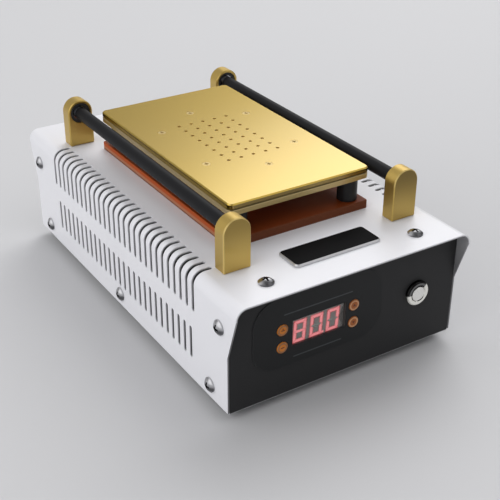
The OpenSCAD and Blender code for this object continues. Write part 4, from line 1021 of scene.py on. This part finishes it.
class SeparatorPlates(bpy.types.Operator):
    """Finishes of the plates, the board under them, the posts and the heater"""

    bl_idname = "separator.plates"
    bl_label = "Plates"

    def execute(self, context):
        tones = colours()
        paint(["suction_plate"], "gold_upper_plate", upper_plate)
        paint(["heater_plate"], "gold_lower_plate", anodised(tones.lower_gold, (1800, 60, 900), 0.42, 0.08))
        paint(["plate_screws"], "gold_screw", metal(rgb(214, 190, 128), 0.3, 600.0))
        paint(["insulating_board"], "brown_laminate", laminate)
        paint(["plate_seal"], "seal_rubber", plastic((0.035, 0.025, 0.015), 0.6))
        paint(["posts"], "black_post", plastic((0.011, 0.011, 0.012), 0.4, 500.0, 0.06, 0.3))
        paint(["heating_mat"], "silicone_mat", plastic((0.36, 0.07, 0.03), 0.6, 500.0, 0.4))
        paint(["suction_nipple"], "brass_nipple", metal(rgb(205, 176, 108), 0.28))
        paint(["temperature_switch"], "switch_can", metal(rgb(190, 190, 190), 0.3))
        paint(["heater_lead"], "braided_lead", braid)
        paint(["vacuum_hose"], "silicone_hose", plastic((0.62, 0.62, 0.56), 0.35, 300.0, 0.05))
        return {"FINISHED"}


class SeparatorRods(bpy.types.Operator):
    """Finishes of the brackets, bearings and guide rods"""

    bl_idname = "separator.rods"
    bl_label = "Rods"

    def execute(self, context):
        rear = anodised(colours().bracket_gold, *BRACKET_ANODISING)
        sleeve = plastic(rgb(25, 25, 27), 0.46, 700.0, 0.06, 0.15)
        bearings = ["bearing_inner_rings_left", "bearing_inner_rings_right", "bearing_balls"]
        paint(["bracket_rear_left", "bracket_rear_right"], "gold_bracket", rear)
        paint(["bracket_front_left", "bracket_front_right"], "gold_front_bracket", front_bracket)
        paint(["rod_sleeve_left", "rod_sleeve_right"], "black_sleeve", sleeve)
        paint(["rod_shaft_left", "rod_shaft_right"], "ground_shaft", metal(rgb(150, 151, 154), 0.25))
        paint(["bearing_outer_rings"], "bearing_seal", plastic(rgb(70, 71, 72), 0.5, 500.0, 0.1, 0.3))
        paint(bearings, "bearing_steel", metal(rgb(170, 171, 174), 0.15))
        return {"FINISHED"}


class SeparatorDisplay(bpy.types.Operator):
    """The overlay with its border, the window, and the lit digits behind it"""

    bl_idname = "separator.display"
    bl_label = "Display"

    def execute(self, context):
        paint(["control_overlay"], "overlay_film", film)
        paint(["display_window"], "smoked_window", smoked_window)
        paint(["display_module"], "display_face", display_face)
        paint(["controller_board", "power_board"], "green_board", board_green)
        paint(["tact_switches"], "switch_plastic", plastic(BLACK, 0.4))
        add_digits()
        add_prints()
        return {"FINISHED"}


class SeparatorKeys(bpy.types.Operator):
    """Keys with a pale printed ring and a raised mark"""

    bl_idname = "separator.keys"
    bl_label = "Keys"

    def execute(self, context):
        tones = colours()
        tints = {
            "left": (tones.left_key_middle, tones.left_key_ring),
            "right": (tones.right_key_middle, tones.right_key_ring),
        }
        mark_finish = finish_of("key_mark_print", plastic(rgb(104, 50, 14), 0.5))
        triangle = np.array([[-1.25, -0.75], [1.25, -0.75], [0, 1.1]]) * MM
        dash = round_corners(2.6 * MM, 0.7 * MM, 0.34 * MM, 5)
        dot = round_corners(0.8 * MM, 0.8 * MM, 0.38 * MM, 5) + [0, 1.15 * MM]
        marks = {
            "key_upper_left": [dash, dot],
            "key_lower_left": [dash],
            "key_upper_right": [triangle],
            "key_lower_right": [triangle[::-1] * [1, -1]],
        }
        for node, outlines in marks.items():
            side = node.split("_")[-1]
            middle_tint, ring_tint = tints[side]
            paint([node], side + "_key_moulding", plastic(middle_tint, 0.42, 900.0, 0.08))
            ring_finish = finish_of(side + "_key_ring_print", plastic(ring_tint, 0.4, 900.0, 0.05))
            add_key_prints(node, outlines, ring_finish, mark_finish)
        return {"FINISHED"}


class SeparatorStartButton(bpy.types.Operator):
    """The push button: bright bezel, cap and return spring"""

    bl_idname = "separator.start_button"
    bl_label = "Start button"

    def execute(self, context):
        steel = metal(rgb(160, 160, 162), 0.25)
        paint(["start_button_body"], "bezel_chrome", bezel_chrome)
        paint(["start_button_cap"], "cap_steel", metal(rgb(238, 237, 233), 0.2, 900.0, 0.03))
        paint(["start_button_spring"], "spring_steel", steel)
        low, high = span("start_button_spring")
        radius, middle = (high[0] - low[0]) / 2, (low + high) / 2
        wire = sizes().spring_wire / 2
        points, faces = coil(radius - wire, wire, low[1], high[1], sizes().spring_turns)
        points += [middle[0], 0, middle[2]]
        body = body_of("start_button_spring")
        finish = finish_of("spring_steel_wire", steel)
        spring = put("return_spring", points, faces, finish, body, "spring_steel", True)
        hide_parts("start_button_spring")
        press = next(j for j in BEHAVIOUR["joints"] if j["name"] == "start_button_press")
        travel = press["range_m"][1]
        1 - travel / (high[1] - low[1])
        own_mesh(spring)
        return {"FINISHED"}


class SeparatorRear(bpy.types.Operator):
    """Finishes of the mains inlet, its fuse drawer and fuse, and the rocker switch"""

    bl_idname = "separator.rear"
    bl_label = "Rear"

    def execute(self, context):
        paint(["mains_inlet"], "inlet_moulding", inlet_moulding)
        paint(["rocker_housing", "fuse_drawer"], "switch_moulding", plastic((0.018, 0.018, 0.019), 0.38))
        paint(["rocker"], "rocker_gloss", rocker_finish)
        paint(["fuse"], "fuse_ceramic", plastic((0.75, 0.75, 0.7), 0.2, 200.0, 0.02))
        return {"FINISHED"}


class SeparatorInside(bpy.types.Operator):
    """Finishes of the pump, the power board and its parts"""

    bl_idname = "separator.inside"
    bl_label = "Inside"

    def execute(self, context):
        paint(["pump_motor"], "motor_can", metal(rgb(160, 161, 163), 0.32))
        paint(["pump_head"], "pump_moulding", plastic((0.02, 0.02, 0.022), 0.45))
        paint(["pump_cradle"], "cradle_paint", plastic((0.03, 0.03, 0.033), 0.4, 400.0, 0.1))
        paint(["transformer"], "transformer_iron", metal((0.16, 0.14, 0.11), 0.5, 200.0, 0.2))
        paint(["power_board_parts"], "component_plastic", plastic((0.02, 0.05, 0.12), 0.4))
        return {"FINISHED"}


class SeparatorStage(bpy.types.Operator):
    """Pale floor, soft lights, and the camera at the photograph's angle"""

    bl_idname = "separator.stage"
    bl_label = "Stage"

    def execute(self, context):
        scene = context.scene
        scene.view_settings.view_transform = "Standard"
        mesh = bpy.data.meshes.new("studio_floor")
        mesh.from_pydata([(-5, -5, 0), (5, -5, 0), (5, 5, 0), (-5, 5, 0)], [], [(0, 1, 2, 3)])
        floor = bpy.data.objects.new("studio_floor", mesh)
        scene.collection.objects.link(floor)
        mesh.materials.append(finish_of("studio_floor_paint", floor_paint))
        world = bpy.data.worlds.new("studio")
        scene.world = world
        studio(Shade(world, "ShaderNodeOutputWorld", "ShaderNodeBackground"))
        lit_point = np.array([0, 0, 0.06])
        for name, spot, width, power in LAMPS:
            lamp = bpy.data.lights.new(name, "AREA")
            lamp.size = width
            lamp.energy = power
            holder = bpy.data.objects.new(name, lamp)
            holder.matrix_world = looking(np.array(spot), lit_point - spot)
            holder.visible_glossy = False
            scene.collection.objects.link(holder)
        camera = bpy.data.cameras.new("photo_camera")
        camera.lens = sizes().camera_lens
        camera.sensor_width = 36.0
        camera.clip_start = 0.02
        holder = bpy.data.objects.new("photo_camera", camera)
        azimuth, elevation, roll = (math.radians(angle) for angle in CAMERA_TURN)
        level = math.cos(elevation)
        back = np.array([math.sin(azimuth) * level, -math.cos(azimuth) * level, math.sin(elevation)])
        holder.matrix_world = looking(CAMERA_SPOT, -back, roll)
        scene.collection.objects.link(holder)
        scene.camera = holder
        return {"FINISHED"}


def studio(shade):
    """Soft surroundings: a level for each height, plus bright and dark lobes round some directions.

    With d the direction and n a lobe's own, the lobe adds its strength times a smooth step of d.n
    from its rim to its core.
    """
    direction = shade.node("ShaderNodeTexCoord", output=0)
    x, y, z = shade.axes(direction)
    stops = [((math.sin(math.radians(h)) + 1) / 2, (level,) * 3) for h, level in HEIGHTS]
    ramp = shade.node("ShaderNodeValToRGB", {"stops": stops}, {0: z * 0.5 + 0.5})
    level = shade.axes(ramp)[0]
    for azimuth, height, rim, core, strength in LOBES:
        a, h = math.radians(azimuth), math.radians(height)
        near = x * (math.sin(a) * math.cos(h)) + y * (math.cos(a) * math.cos(h)) + z * math.sin(h)
        level = level + near.rise(rim, core) * strength
    shade.set(Color=(1, 1, 1.01), Strength=level.over(0.03))


def looking(spot, aim, roll=0.0):
    """The matrix of something at spot that looks along aim: its -Z along aim, its X level, then rolled."""
    back = -aim / np.linalg.norm(aim)
    right = np.cross([0, 0, 1], back)
    right /= np.linalg.norm(right)
    up = np.cross(back, right)
    side = right * math.cos(roll) + up * math.sin(roll)
    over = up * math.cos(roll) - right * math.sin(roll)
    matrix = np.eye(4)
    matrix[:3] = np.column_stack([side, over, back, spot])
    return Matrix(matrix.tolist())


STEPS = (
    SeparatorCase,
    SeparatorPlates,
    SeparatorRods,
    SeparatorDisplay,
    SeparatorKeys,
    SeparatorStartButton,
    SeparatorRear,
    SeparatorInside,
    SeparatorStage,
)


class SeparatorPanel(bpy.types.Panel):
    """Lists the steps, sizes and colours"""

    bl_idname = "SEPARATOR_PT_looks"
    bl_label = "Screen separator"
    bl_space_type = "VIEW_3D"
    bl_region_type = "UI"
    bl_category = "Separator"

    def draw(self, context):
        for step in STEPS:
            self.layout.operator(step.bl_idname)
        for group in (sizes(), colours()):
            box = self.layout.box()
            for key in group.__annotations__:
                box.prop(group, key)


CLASSES = (SeparatorSizes, SeparatorColours, *STEPS, SeparatorPanel)


def register():
    for item in CLASSES:
        bpy.utils.register_class(item)
    bpy.types.Scene.separator_sizes = bpy.props.PointerProperty(type=SeparatorSizes)
    bpy.types.Scene.separator_colours = bpy.props.PointerProperty(type=SeparatorColours)


def unregister():
    del bpy.types.Scene.separator_colours
    del bpy.types.Scene.separator_sizes
    for item in reversed(CLASSES):
        bpy.utils.unregister_class(item)


def main():
    register()
    for step in STEPS:
        group, name = step.bl_idname.split(".")
        getattr(getattr(bpy.ops, group), name)()


if __name__ == "__main__":
    main()
